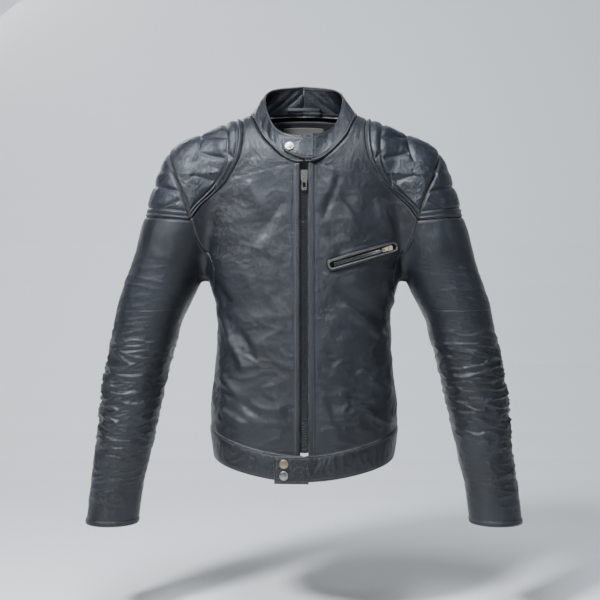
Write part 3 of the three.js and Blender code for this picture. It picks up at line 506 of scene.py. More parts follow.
def finish_panel(name, g, height, wear, material, thickness=one_layer, lift=0.0, closed=False, drop=None,
    out_way=None):
    """The grid as a piece of leather or cloth, with its thickness on its inner side."""
    if out_way is not None:
        g.out = g.out * np.where((g.out * out_way(g.p)).sum(1) < 0, -1, 1)[:, None]
    face = g.p + g.out * (height + lift)[:, None]
    for v, p in zip(g.bm.verts, face / 1000):
        v.co = p
    mask = g.bm.verts.layers.float.new("wear")
    for v, w in zip(g.bm.verts, np.broadcast_to(wear, len(face))):
        v[mask] = w
    cloth = g.bm.loops.layers.uv.new("cloth")
    g.bm.verts.ensure_lookup_table()
    for f in g.bm.faces:
        for loop in f.loops:
            i = loop.vert.index
            loop[cloth].uv = (g.left[i] / 1000, g.bottom[i] / 1000)
    g.face = face
    if drop is not None:
        gone = [f for f in g.bm.faces if drop[[v.index for v in f.verts]].all()]
        bmesh.ops.delete(g.bm, geom=gone, context="FACES")
    if closed:
        bmesh.ops.remove_doubles(g.bm, verts=g.bm.verts, dist=2e-5)
    g.bm.normal_update()
    middle = next(iter(g.bm.faces))
    nearest = np.argmin(np.linalg.norm(face / 1000 - np.array(middle.calc_center_median()), axis=1))
    if middle.normal.dot(Vector(g.out[nearest])) < 0:
        bmesh.ops.reverse_faces(g.bm, faces=g.bm.faces)
    return solid_piece(name, g.bm, material, thickness)


def solid_piece(name, bm, material, thickness=None):
    mesh = bpy.data.meshes.new(name)
    bm.to_mesh(mesh)
    bm.free()
    mesh.shade_smooth()
    mesh.materials.append(material)
    piece = bpy.data.objects.new(name, mesh)
    bpy.context.collection.objects.link(piece)
    if thickness:
        wall = piece.modifiers.new("thickness", "SOLIDIFY")
        wall.thickness, wall.offset = thickness / 1000, -1
    return piece


def line_on(g, inset, edge):
    """Points and outward ways along a panel, at a distance in from one of its edges."""
    from_edge = getattr(g, edge)[g.order].reshape(g.along + 1, g.across + 1)
    face = g.face[g.order].reshape(g.along + 1, g.across + 1, 3)
    out = g.out[g.order].reshape(g.along + 1, g.across + 1, 3)
    if edge in ("bottom", "top"):
        from_edge, face, out = from_edge.T, face.transpose(1, 0, 2), out.transpose(1, 0, 2)
    if edge in ("right", "top"):
        from_edge, face, out = from_edge[:, ::-1], face[:, ::-1], out[:, ::-1]
    wide_enough = from_edge[:, -1] > inset
    pick = lambda rows: np.array([[np.interp(inset, d, r[:, i]) for i in range(3)] for d,
        r in zip(from_edge, rows)])
    return pick(face)[wide_enough], pick(out)[wide_enough]


# ---- Sewing thread -----------------------------------------------------------------------------
# Black bonded thread, three stitches to the centimetre: each stitch is a short plump grain that
# lies along its seam, sunk by half into the hide.
def striped(name, scale, dark, light, roughness, distortion=0.0, relief=None, ways="X"):
    """A thread or woven cloth: fine stripes of its strands, raised where relief gives strength and depth."""
    made = bpy.data.materials.new(name)
    made.use_nodes = True
    tree = made.node_tree
    shader = tree.nodes["Principled BSDF"]
    strands = node(tree, "ShaderNodeTexWave", {"Vector": node(tree,
        "ShaderNodeTexCoord").outputs["Object"]},
                   Scale=scale, Distortion=distortion, bands_direction=ways)
    tree.links.new(ramp(tree, strands.outputs["Fac"], (0.0, dark), (1.0, light)),
        shader.inputs["Base Color"])
    if relief:
        threads = node(tree, "ShaderNodeBump", {"Height": strands.outputs["Fac"]}, Strength=relief[0],
                       Distance=relief[1])
        tree.links.new(threads.outputs["Normal"], shader.inputs["Normal"])
    shader.inputs["Roughness"].default_value = roughness
    return made


thread = striped("thread", 700.0, (0.035, 0.035, 0.04), (0.13, 0.13, 0.14), 0.6, distortion=1.5)


def sewn(name, *lines, pitch=3.8, length=2.9, radius=0.45, rise=0.1):
    """Stitches along lines of points with their outward ways."""
    bm = bmesh.new()
    for points, out in lines:
        if len(points) < 2:
            continue
        far = np.concatenate([[0], np.cumsum(np.linalg.norm(np.diff(points, axis=0), axis=1))])
        for s in np.arange(pitch / 2, far[-1], pitch):
            here, ahead, up = (np.array([np.interp(d, far, a[:, i]) for i in range(3)])
                               for d, a in ((s, points), (s + 0.5, points), (s, out)))
            way = Vector(ahead - here).normalized()
            up = Vector(up).normalized()
            if way.length < 0.5:
                continue
            across = up.cross(way).normalized()
            turned = Matrix((way, across, way.cross(across))).transposed().to_4x4()
            stitch = Matrix.Translation(Vector(here + rise * np.array(up)) / 1000) @ turned
            stitch = stitch @ Matrix.Diagonal((length / 2000, radius / 1000, radius / 1000, 1))
            bmesh.ops.create_uvsphere(bm, u_segments=6, v_segments=4, radius=1, matrix=stitch)
    return solid_piece(name, bm, thread)


# ---- Front panels ------------------------------------------------------------------------------
# One panel on each side from the zip to the side seam. Its front edge is folded back over the zip
# tape and sewn down 10 mm in.
facing_width = 10.0


def across_fold(piece):
    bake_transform(piece)


# Soft folds seen from the front, in x and z: their ends, width and height.
front_folds = {
    1: [(((38, -118), (92, -205)), 7, 2.2), (((60, -112), (30, -190)), 6, -1.8),
        (((120, -150), (150, -215)), 9, 2.0),
        (((45, -300), (140, -360)), 10, -2.4), (((60, -330), (150, -395)), 9, 2.6),
            (((30, -400), (120, -452)), 11, -2.2),
        (((90, -440), (150, -480)), 8, 2.4), (((70, -480), (150, -515)), 9, -2.2),
            (((25, -215), (70, -262)), 7, 1.6),
        (((135, -290), (160, -340)), 8, 3.0), (((20, -480), (60, -560)), 9, 1.6),
            (((100, -505), (150, -535)), 6, 2.2)],
    -1: [(((-128, -385), (-98, -440)), 7, 3.2), (((-112, -372), (-80, -425)), 8, -2.6),
        (((-150, -440), (-100, -500)), 8, 2.4),
         (((-140, -470), (-70, -515)), 7, -2.2), (((-95, -120), (-60, -190)), 9, 1.6),
             (((-30, -150), (-85, -230)), 10, -1.6),
         (((-150, -330), (-120, -395)), 7, 2.4), (((-60, -300), (-30, -380)), 11, 1.4),
             (((-155, -285), (-125, -330)), 8, -2.6),
         (((-60, -460), (-25, -540)), 9, 1.8), (((-145, -505), (-90, -535)), 6, 2.2)],
}
pocket_slant, pocket_middle_turn, pocket_radius = math.radians(16.6), math.radians(19.65), 208.0
pocket_half, pocket_slot = 63.0, 5.5
pocket_ahead = np.array((math.cos(pocket_slant), 0, math.sin(pocket_slant)))
pocket_axis = np.array((math.sin(pocket_slant), 0, -math.cos(pocket_slant)))


def pocket_out(turn):
    turn = np.asarray(turn, float)[..., None]
    return np.sin(turn) * pocket_ahead - np.cos(turn) * np.array((0, 1, 0))


pocket_centre = np.array((101.43, -87.57, -247.38)) - pocket_radius * pocket_out(pocket_middle_turn)


def pocket_point(s, w, h=0.0):
    """A place on the pocket's arc, along it, across it and out of it, with the way out there."""
    out = pocket_out(pocket_middle_turn + np.asarray(s, float) / pocket_radius)
    p = pocket_centre + (pocket_radius + np.asarray(h, float))[..., None] * out
    return p - np.asarray(w, float)[..., None] * pocket_axis, out


def from_pocket(p):
    """Distance outside the pocket's slot, negative within it."""
    q = p - pocket_centre
    s = (np.arctan2(q @ pocket_ahead, -q[:, 1]) - pocket_middle_turn) * pocket_radius
    return np.hypot(np.maximum(np.abs(s) - (pocket_half - pocket_slot), 0), q @ pocket_axis) - pocket_slot


for side, word in ((1, "left"), (-1, "right")):
    g = grid_on(front_surface, 92, 216, side)
    flap = g.left
    sides = np.minimum(g.right, np.minimum(g.bottom, np.where(g.v > 0.75, g.left, 1e3)))
    h = seam_dip(sides)
    on_strip = g.v < 0.752
    fold_edge = 1.3 * (1 - np.exp(-flap / 0.8)) - 0.9 * (1 / (1 + np.exp(-(flap - facing_width) / 0.6)))
    h += np.where(on_strip, fold_edge - 0.9 * np.exp(-(((flap - facing_width - 1.0) / 1.0) ** 2)), 0)
    calm = np.clip((np.minimum(sides, flap - facing_width) - 2) / 22, 0, 1)
    h += calm * (2.4 * wave(g.p, 74, 4 * side) + 1.7 * wave(g.p, 31, side))
    low = np.clip((-g.p[:, 2] - 300) / 200, 0, 1)
    h += (0.25 + 0.75 * calm) * (0.45 + 0.9 * low) * wrinkles(g.p, 26, 5.0 * side, (1.6, 1, 0.8))
    h += 0.42 * wrinkles(g.p, 9, 2.0 * side, (1.3, 1, 1)) + 0.2 * wrinkles(g.p, 5, 7.0 * side)
    puckers = np.clip(1 - np.abs(flap - facing_width - 5) / 12, 0, 1) * on_strip
    h += 0.45 * puckers * wave(g.p * (0.35, 1, 1), 7, 3 * side)
    for ends, width, height in front_folds[side]:
        h += calm * crease(g.p, ends, width, 1.4 * height)
    wear = 0.95 * np.exp(-sides / 2.0) + 0.9 * np.exp(-(flap / 1.6)) * on_strip
    wear += 0.55 * np.exp(-(((flap - facing_width) / 1.2) ** 2)) * on_strip
    drop = None
    if side > 0:
        hole = from_pocket(g.p)
        h *= np.clip((hole - 4) / 10, 0.15, 1)
        h += 1.1 * np.exp(-(((hole - 6.5) / 2.6) ** 2))
        drop = hole < 1.5
    piece = finish_panel(f"front_{word}", g, h, wear, hide, drop=drop)
    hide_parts(f"front_{word}_panel", f"placket_{word}", f"zip_facing_{word}")
    rows = [line_on(g, facing_width - 1.6, "left"), line_on(g, 3.4, "right"), line_on(g, 3.2, "bottom")]
    rows[0] = tuple(a[: int(0.75 * g.along)] for a in rows[0])
    stitches = sewn(f"front_{word}_stitching", *rows)
    for made in (piece, stitches):
        across_fold(made)


# ---- Back and yoke -----------------------------------------------------------------------------
# A one-piece back under a shaped yoke, joined by a lapped seam with two rows of stitches. Hide bags
# a little over the shoulder blades and creases across the small of the back.
back_neck = route([quilt_top, *neck_back, *[(-x, y, z) for x, y, z in neck_back[-2::-1]], (-107, 0, -10)])
yoke_seam = route([corner_back, (100, 112, -172), (0, 114, -166), (-100, 112, -172), (-192, 88, -188)])


def back_waist(t):
    angle = np.pi * (0.5 + np.asarray(t, float))
    folded = np.minimum(angle, 2 * np.pi - angle)
    return body_point(folded, waist_seam(folded)) * np.stack([np.where(angle > np.pi, -1, 1)]
        + [np.ones_like(angle)] * 2, -1)


yoke = grid_on(patch(yoke_seam, back_neck, backwards(quilt_back), reflected(backwards(quilt_back))), 150,
    80)
edges = np.minimum.reduce([yoke.left, yoke.right, yoke.top])
h = seam_dip(edges) + 1.2 * np.clip(1 - yoke.bottom / 6, 0, 1) ** 0.5
calm = np.clip((np.minimum(edges, yoke.bottom) - 2) / 20, 0, 1)
h += calm * (1.4 * wave(yoke.p, 60) + 0.6 * wrinkles(yoke.p, 24, 9)) + 0.28 * wrinkles(yoke.p, 9, 5)
wear = 0.9 * np.exp(-np.minimum(edges, yoke.bottom) / 2.0)
yoke_piece = finish_panel("back_yoke_hide", yoke, h, wear, hide)
yoke_sewing = sewn("yoke_stitching", line_on(yoke, 2.4, "bottom"), line_on(yoke, 8.0, "bottom"),
                   line_on(yoke, 3.4, "left"), line_on(yoke, 3.4, "right"))
back = grid_on(patch(back_waist, yoke_seam, back_side, reflected(back_side)), 150, 170)
edges = np.minimum.reduce([back.left, back.right, back.bottom, back.top])
h = seam_dip(edges)
calm = np.clip((edges - 2) / 24, 0, 1)
small = np.exp(-(((back.p[:, 2] + 430) / 70) ** 2))
h += calm * (2.0 * wave(back.p, 80, 2) + 1.0 * wave(back.p, 34, 6)
    + (0.4 + 2.0 * small) * wrinkles(back.p, 30, 8, (2.6, 1, 0.7)))
h += 0.3 * wrinkles(back.p, 9, 11)
back_piece = finish_panel("back_hide", back, h, 0.9 * np.exp(-edges / 2.0), hide)
back_sewing = sewn("back_stitching", line_on(back, 3.4, "left"), line_on(back, 3.4, "right"),
    line_on(back, 3.2, "bottom"))
for piece in (yoke_piece, yoke_sewing, back_piece, back_sewing):
    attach(piece, "root")
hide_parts("back_yoke")
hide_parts("back_panel")


# ---- Quilted shoulders and sleeve heads --------------------------------------------------------
# Hide over foam, sewn through along curved rows so that it puffs between them. A cord-filled welt
# runs round each shoulder piece, and each sleeve head ends in two narrow rolls above the sleeve.
quilt_inner = joined((6, quilt_front), (6, quilt_back))
quilt_outer = joined((6, armhole_front_top), (6, armhole_back_top))
head_seam = joined((6, backwards(head_front)), (6, backwards(head_back)))


def puffed(rows, puff, width=3.6):
    """Height of foam under sewn-through hide, from the distances to its rows of stitches."""
    nearest = np.minimum.reduce([np.abs(r) for r in rows])
    return puff * (1 - np.exp(-nearest / width)), nearest


def diagonal(a, b, start, end):
    """Distance to a straight row between two places in a panel's own two measures."""
    s, e = np.array(start, float), np.array(end, float)
    q = np.stack([a, b], 1)
    t = np.clip(((q - s) @ (e - s)) / ((e - s) @ (e - s)), 0, 1)
    return np.linalg.norm(q - s - t[:, None] * (e - s), axis=1)


def inside_ends(surface, ends):
    return lambda u, v: surface(u, ends + (1 - 2 * ends) * v)


for side, word in ((1, "left"), (-1, "right")):
    g = grid_on(inside_ends(between(quilt_inner, quilt_outer), 0.012), 96, 210, side)
    top_of = np.sin(np.pi * g.v)
    length = 330.0
    along = (g.v - 0.5) * length
    second, third = g.left - 10, g.left - (19 + 11 * top_of**3)
    fourth = np.where(np.abs(along) < 62, g.left - (76 + 9 * (along / 58) ** 2), 99)
    rows = [second, third, fourth]
    for s in (-1, 1):
        for where in (22, 50, 84):
            rows.append(diagonal(along * s, g.left, (where, 78), (where + 20, 30)))
        rows.append(diagonal(along * s, g.left, (62, 28), (76, 10)))
        rows.append(diagonal(along * s, g.left, (104, 24), (118, 10)))
    h, nearest = puffed([*rows, g.left, g.right], 3.6)
    h += np.where(g.left < 10, 1.4 * np.sqrt(np.clip(1 - ((g.left - 5) / 5) ** 2, 0, 1)) - 1.6, 0)
    h += seam_dip(g.left, g.right, g.top, g.bottom, depth=2.6)
    h += 0.9 * np.clip(nearest / 6, 0, 1) * (wave(g.p, 16, side) + 0.6 * wrinkles(g.p, 11,
        2 * side)) + 0.2 * wrinkles(g.p, 6, 3)
    wear = 0.85 * np.exp(-nearest / 1.3) + 0.9 * np.exp(-np.minimum(g.left, g.right) / 2)
    shoulder = finish_panel(f"shoulder_{word}", g, h, wear, quilted_hide, thickness=quilt_layers)
    lines = [line_on(g, 10, "left"), line_on(g, 2.4, "left"), line_on(g, 3.0, "right")]
    shoulder_sewing = sewn(f"shoulder_{word}_stitching", *lines, pitch=3.0, length=2.2, radius=0.3)
    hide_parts(f"shoulder_{word}_quilt")
    for piece in (shoulder, shoulder_sewing):
        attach(piece, "root")

    g = grid_on(inside_ends(between(quilt_outer, head_seam), 0.012), 84, 190, side)
    along = (g.v - 0.5) * 300
    bow = 6 * np.cos(np.pi * g.v) ** 2
    rows = [g.right - 7, g.right - 18, np.where(g.left > 4, g.right - (56 - bow), 99)]
    for s in (-1, 1):
        rows.append(diagonal(along * s, g.right, (88, 18), (106, 34)))
    h, nearest = puffed([*rows, g.left, g.right], 3.8)
    h += np.where(g.right < 18, -1.4, 0) + seam_dip(g.left, g.right, depth=2.6)
    h += 0.9 * np.clip(nearest / 6, 0, 1) * (wave(g.p, 17, 5 * side) + 0.6 * wrinkles(g.p, 12,
        6 * side)) + 0.2 * wrinkles(g.p, 6, 4)
    wear = 0.85 * np.exp(-nearest / 1.3) + 0.9 * np.exp(-np.minimum(g.left, g.right) / 2)
    head = finish_panel(f"sleeve_head_{word}", g, h, wear, quilted_hide, thickness=quilt_layers)
    lines = [line_on(g, 7, "right"), line_on(g, 18, "right"), line_on(g, 2.6, "left")]
    head_sewing = sewn(f"sleeve_head_{word}_stitching", *lines, pitch=3.0, length=2.2, radius=0.3)
    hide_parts(f"sleeve_{word}_quilt")
    for piece in (head, head_sewing):
        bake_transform(piece)


# ---- Sleeves -----------------------------------------------------------------------------------
# One long tube of hide on each side. It crumples into stacked folds from above the elbow to the
# forearm, where years of bent arms have set them, and its cuff is turned up and sewn once.
split_level = -340.0


def arm_ring(level):
    def run(t):
        cx, cy, rx, ry = (slice_at(arm_slices, np.full_like(t, level), c) for c in (1, 2, 3, 4))
        return np.stack([cx + rx * np.cos(2 * np.pi * t), cy - ry * np.sin(2 * np.pi * t),
            np.full_like(t, level)], -1)
    return run


arm_top = joined((6, head_front), (3, backwards(armhole_front_low)), (3, armhole_back_low),
    (6, head_back))


def sleeve_tube(u, v):
    level = -705 + (split_level + 705) * v
    cx, cy, rx, ry = (slice_at(arm_slices, level, c) for c in (1, 2, 3, 4))
    return np.stack([cx + rx * np.cos(2 * np.pi * u), cy - ry * np.sin(2 * np.pi * u), level], -1)


def sleeve_folds(g, side):
    """Folds across the sleeve, deepest on the outer and front sides from the elbow down."""
    z = g.p[:, 2]
    cx = slice_at(arm_slices, z, 1) * side
    cy = slice_at(arm_slices, z, 2)
    turn = np.arctan2(g.p[:, 1] - cy, (g.p[:, 0] - cx) * side)
    zone = np.exp(-(((z + 470) / 95) ** 4)) + 0.35 * np.exp(-(((z
        + 610) / 60) ** 2)) + 0.25 * np.exp(-(((z + 300) / 50) ** 2))
    outer = 0.45 + 0.55 * np.clip(np.cos(turn + 0.5), 0, 1)
    ring = np.stack([60 * np.cos(turn), 60 * np.sin(turn), z], 1)
    stacked = wrinkles(ring, 17, 3.0 + side, (3.2, 3.2, 0.9))
    fine = wrinkles(ring, 9, 8.0 + side, (3.0, 3.0, 0.9))
    return zone * outer * (4.6 * stacked + 2.0 * fine) - 1.4 * zone + 1.4 * wave(g.p, 55,
        3 * side) + 0.7 * wave(g.p, 24, side)


for side, word in ((1, "left"), (-1, "right")):
    g = grid_on(patch(arm_ring(split_level), arm_top,
        lambda t: route([arm_ring(split_level)(np.zeros(1))[0], (266, 2, -250), (279, 2, -178)])(t),
                      lambda t: route([arm_ring(split_level)(np.zeros(1))[0], (266, 2, -250),
                          (279, 2, -178)])(t)), 150, 70, side)
    fade = np.clip(g.top / 25, 0, 1)
    h = seam_dip(g.top, depth=2.4) + fade * sleeve_folds(g, side) + 0.25 * wrinkles(g.p, 9, 5 * side)
    top_part = finish_panel(f"sleeve_{word}_top", g, h, 0.9 * np.exp(-g.top / 2), hide, closed=True)
    top_sewing = sewn(f"sleeve_{word}_top_stitching", line_on(g, 3.2, "top"))
    for piece in (top_part, top_sewing):
        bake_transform(piece)
    g = grid_on(sleeve_tube, 150, 215, side)
    hem = 1.1 * (g.bottom < 9) * (1 - np.exp(-g.bottom / 0.8)) - 0.9 * np.exp(-(((g.bottom - 9) / 1.0) ** 2))
    calm = np.clip((g.bottom - 4) / 20, 0.15, 1)
    h = hem + calm * sleeve_folds(g, side) + 0.25 * wrinkles(g.p, 9, 5 * side)
    wear = 0.95 * np.exp(-g.bottom / 1.8) + 0.4 * np.exp(-(((g.bottom - 9) / 1.2) ** 2))
    sleeve = finish_panel(f"sleeve_{word}", g, h, wear, hide, closed=True)
    cuff_sewing = sewn(f"cuff_{word}_stitching", line_on(g, 7.2, "bottom"))
    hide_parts(f"sleeve_{word}_upper", f"sleeve_{word}_lower")
    for piece in (sleeve, cuff_sewing):
        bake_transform(piece)


# ---- Band collar -------------------------------------------------------------------------------
# Two layers of hide turned at the rim, joined behind the neck and piped where they meet the panels.
# The wearer's right half gathers a little on the neck; the left half rises to run on as the tab.
def straight_out(p):
    """Outwards from the neck, for pieces that stand away from the form."""
    q = np.stack([p[:, 0], p[:, 1] * 1.1 - 5, np.zeros(len(p))], 1)
    return q / np.linalg.norm(q, axis=1)[:, None]


foot_points = [(0, -90, -90), (17, -89, -90), *neck_front, *neck_back[1:]]
collar_foot = route(laid(np.array(foot_points, float))[0] - (0, 0, 1.5))
collar_rim = route([(0, -74, -44), (30, -66, -40), (50, -48, -26), (62, -25, 2), (66, 5, 34),
    (52, 42, 54), (0, 60, 63)])
places = np.linspace(0, 1, 401)
foot_reach = collar_foot(places)[:, 0]
front_half = places < 0.5


def collar_place(x):
    return np.interp(x, foot_reach[front_half], places[front_half])


def collar_surface(u, v):
    start = collar_place(1.5) + (collar_place(3.5) - collar_place(1.5)) * v
    place_on = start + (1 - start) * u
    return collar_foot(place_on) * (1 - v[:, None]) + collar_rim(place_on) * v[:, None]


tab_lift, tab_root, tab_length = 4.8, 14.5, 52.5
for side, word in ((1, "left"), (-1, "right")):
    g = grid_on(collar_surface, 190, 40, side, on_form=False)
    edges = np.minimum(g.top, np.minimum(g.left, g.right))
    h = 2.6 - 1.2 * np.exp(-g.bottom / 1.2) + 1.5 * np.exp(-(((g.bottom - 2.2) / 1.7) ** 2))
    h -= 1.2 * np.exp(-(((g.bottom - 5.0) / 1.1) ** 2)) + 1.8 * np.exp(-g.top / 1.5)
    h -= 0.7 * np.exp(-(((g.top - 5.0) / 1.0) ** 2)) - 0.5 * np.exp(-(((g.top - 2.6) / 1.8) ** 2))
    calm = np.clip(edges / 8, 0, 1) * np.clip((g.bottom - 4) / 8, 0, 1)
    gathers = wave(np.stack([g.left * 1.0, g.bottom * 0.3, g.left * 0], 1), 13, 3.3 * side)
    h += calm * ((0.9 if side > 0 else 1.7) * gathers + 0.7 * wave(g.p, 22, side)
        + 0.35 * wrinkles(g.p, 10, side))
    if side > 0:
        x = g.p[:, 0]
        rise = np.where(x > 12.4, tab_lift * (1 - np.clip((x - 12.4) / 44, 0, 1)) ** 2, 1.2)
        h += rise * np.where(g.p[:, 1] < 0, 1, 0)
    wear = 1.0 * np.exp(-g.top / 2.2) + 0.8 * np.exp(-(((g.bottom - 2.2) / 1.8) ** 2))
    band = finish_panel(f"collar_{word}_band", g, h, wear, hide, thickness=2.4, out_way=straight_out)
    collar_sewing = sewn(f"collar_{word}_stitching", line_on(g, 5.0, "top"), line_on(g, 5.2, "bottom"))
    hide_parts(f"collar_{word}", f"collar_{word}_front")
    for piece in (band, collar_sewing):
        across_fold(piece)


# ---- Collar tab --------------------------------------------------------------------------------
# The left half's end, cut to a narrowing strap with a rounded tip. It buckles softly between its
# root and the snap that holds it down.
def collar_tab_surface(u, v):
    x = tab_root - tab_length * u
    tip = np.sqrt(np.clip(1 - np.clip((u - 0.86) / 0.14, 0, None) ** 2, 0, None))
    t = np.clip((u - 0.1) / 0.8, 0, 1)
    half = (40 + (25 - 40) * t * t * (3 - 2 * t)) / 2 * (0.12 + 0.88 * tip)
    foot, rim = collar_foot(collar_place(np.abs(x))), collar_rim(collar_place(np.abs(x)))
    up = (rim - foot) / np.linalg.norm(rim - foot, axis=1)[:, None]
    p = foot * 0.52 + rim * 0.48 + up * ((v - 0.5) * 2 * half)[:, None]
    return np.stack([x, p[:, 1], p[:, 2]], 1)


snap_u = 0.745
g = grid_on(collar_tab_surface, 90, 60, on_form=False)
sides = np.minimum(np.minimum(g.bottom, g.top), g.right)
from_snap = np.hypot((g.u - snap_u) * tab_length, (g.v - 0.5) * 26)
h = tab_lift + 2.55 - 1.6 * np.exp(-sides / 1.2) - 0.6 * np.exp(-(((sides - 3.6) / 0.9) ** 2))
buckle = np.exp(-(((g.u - 0.36) / 0.2) ** 2)) * np.clip(sides / 6, 0, 1)
h += buckle * (1.1 * wave(g.p * (1, 1, 0.55), 10, 4.1) + 0.8) - 1.0 * np.exp(-((from_snap / 8) ** 2))
h += 0.3 * np.clip(sides / 4, 0, 1) * wrinkles(g.p, 8, 2.2)
wear = 1.0 * np.exp(-sides / 1.8)
tab = finish_panel("collar_tab_strap", g, h, wear, hide, thickness=two_layers, out_way=straight_out)
tab_sewing = sewn("collar_tab_stitching", line_on(g, 3.6, "top"), line_on(g, 3.6, "bottom"),
    line_on(g, 3.6, "right"))
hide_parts("collar_tab")
for piece in (tab, tab_sewing):
    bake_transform(piece)


# ---- Waistband and its tab ---------------------------------------------------------------------
# A two-layer band round the hips, sewn along both edges. Its top edge has worn to small ribs. The left
# end runs on past the zip as a square-ended tab held by two snaps.
def band_between(start, end):
    def run(u, v):
        angle = start + (end - start) * u
        folded = np.minimum(angle, 2 * np.pi - angle)
        low = hem_level(folded)
        p = body_point(folded, low + (waist_seam(folded) - low) * 1.055 * v)
        return p * np.stack([np.where(angle > np.pi, -1, 1)] + [np.ones_like(angle)] * 2, -1)
    return run


def band_relief(g, seed, ends):
    edges = np.minimum(g.bottom, g.top)
    h = 2.4 - 1.9 * np.exp(-edges / 1.4) - 0.7 * np.exp(-(((edges - 4.2) / 0.9) ** 2))
    ribs = wave(np.stack([g.left, g.left * 0, g.bottom * 0.2], 1), 3.4, seed)
    h += 0.5 * ribs * np.exp(-(((g.top - 4) / 4) ** 2)) + 0.35 * ribs * np.exp(-(((g.bottom - 4) / 4) ** 2))
    calm = np.clip((edges - 3) / 10, 0, 1) * np.clip(ends / 8, 0, 1)
    return h + calm * (1.5 * wave(g.p, 45, seed)
        + 0.9 * wrinkles(g.p, 18, seed, (0.8, 1, 1.6))) + 0.2 * wrinkles(g.p, 8, seed)


for side, word in ((1, "left"), (-1, "right")):
    g = grid_on(band_between(0.012 if side > 0 else 0.02, np.pi / 2), 130, 30, side)
    h = band_relief(g, 2.7 * side, g.right) + seam_dip(g.right, depth=1.6)
    if side > 0:
        h += tab_lift * (1 - np.clip((np.abs(g.p[:, 0]) - 8) / 34, 0, 1)) ** 2
    wear = 0.9 * np.exp(-g.bottom / 1.8) + 0.9 * np.exp(-g.top / 2.4) + 0.4 * np.exp(-g.right / 2)
    band = finish_panel(f"waistband_{word}_side", g, h, wear, hide, thickness=two_layers)
    sewing = sewn(f"waistband_{word}_stitching", line_on(g, 4.2, "bottom"), line_on(g, 4.2, "top"))
    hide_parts(f"waistband_{word}", f"waistband_{word}_front")
    for piece in (band, sewing):
        across_fold(piece)
g = grid_on(band_between(np.pi / 2, 3 * np.pi / 2), 190, 30)
h = band_relief(g, 6.1, np.minimum(g.left, g.right)) + seam_dip(g.left, g.right, depth=1.6)
wear = 0.9 * np.exp(-g.bottom / 1.8) + 0.9 * np.exp(-g.top / 2.4)
back_band = finish_panel("waistband_back_band", g, h, wear, hide, thickness=two_layers)
sewing = sewn("waistband_back_stitching", line_on(g, 4.2, "bottom"), line_on(g, 4.2, "top"))
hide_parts("waistband_back")
for piece in (back_band, sewing):
    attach(piece, "root")


waist_tab_root, waist_tab_length, waist_tab_height = 7, 55, 44
waist_snaps = {"upper": 0.72, "lower": 0.3}
waist_snap_along = 0.72


def waist_tab_surface(u, v):
    x = waist_tab_root - waist_tab_length * u
    low = hem_level(np.zeros(1)) - 3
    return front_point(np.abs(x), low + (waist_seam(np.zeros(1)) + 1 - low) * v) * np.stack(
        [np.where(x < 0, -1, 1), np.ones_like(x), np.ones_like(x)], -1)


g = grid_on(waist_tab_surface, 80, 56)
sides = np.minimum(np.minimum(g.bottom, g.top), g.right)
h = tab_lift + 2.4 - 1.6 * np.exp(-sides / 1.2) - 0.6 * np.exp(-(((sides - 3.8) / 0.9) ** 2))
for snap_v in waist_snaps.values():
    from_snap = np.hypot((g.u - waist_snap_along) * waist_tab_length, (g.v - snap_v) * waist_tab_height)
    h -= 0.8 * np.exp(-((from_snap / 8) ** 2))
h += np.clip(sides / 6, 0, 1) * (0.7 * wave(g.p, 15, 3.3) + 0.3 * wrinkles(g.p, 9, 1.7))
waist_tab = finish_panel("waist_tab_strap", g, h, 1.0 * np.exp(-sides / 1.8), hide, thickness=two_layers)
sewing = sewn("waist_tab_stitching", line_on(g, 3.8, "top"), line_on(g, 3.8, "bottom"),
    line_on(g, 3.8, "right"))
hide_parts("waist_tab")
for piece in (waist_tab, sewing):
    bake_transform(piece)


# ---- Metal finishes ----------------------------------------------------------------------------
# Nickel plate rubbed and finely scratched, aged brass under its last plating, and teeth blackened by
# oxide with bright crests.
smudges, smudges_in, smudges_out = group(
    "rubbed_metal", [("Scale", "NodeSocketFloat", 1.0)],
    [("Smudge", "NodeSocketFloat"), ("Scratch", "NodeSocketFloat")])
where = node(smudges, "ShaderNodeVectorMath",
    {0: smudges.nodes.new("ShaderNodeTexCoord").outputs["Object"],
                                               "Scale": smudges_in.outputs["Scale"]},
                                                   operation="SCALE").outputs[0]
blotch = node(smudges, "ShaderNodeTexNoise", {"Vector": where}, Scale=420.0, Detail=5.0, Roughness=0.65)
hair = node(smudges, "ShaderNodeTexNoise", {"Vector": where}, Scale=2600.0, Detail=2.0, Distortion=2.0)
smudges.links.new(ramp(smudges, blotch.outputs["Fac"], (0.35, grey(0)), (0.7, grey(1))),
    smudges_out.inputs["Smudge"])
smudges.links.new(hair.outputs["Fac"], smudges_out.inputs["Scratch"])


def metal(name, clean, dirty, polish, dullness, metallic=1.0):
    made = bpy.data.materials.new(name)
    made.use_nodes = True
    tree = made.node_tree
    shader = tree.nodes["Principled BSDF"]
    rubbing = node(tree, "ShaderNodeGroup", node_tree=smudges)
    rubbing.inputs["Scale"].default_value = 1.0
    tint = node(tree, "ShaderNodeMix", {"Factor": rubbing.outputs["Smudge"]}, data_type="RGBA")
    tint.inputs["A"].default_value, tint.inputs["B"].default_value = (*clean, 1), (*dirty, 1)
    tree.links.new(tint.outputs["Result"], shader.inputs["Base Color"])
    tree.links.new(ramp(tree, rubbing.outputs["Smudge"], (0.0, grey(polish)), (1.0, grey(dullness))),
        shader.inputs["Roughness"])
    dents = node(tree, "ShaderNodeBump", {"Height": rubbing.outputs["Scratch"]}, Strength=0.12,
        Distance=0.0001)
    tree.links.new(dents.outputs["Normal"], shader.inputs["Normal"])
    shader.inputs["Metallic"].default_value = metallic
    return made


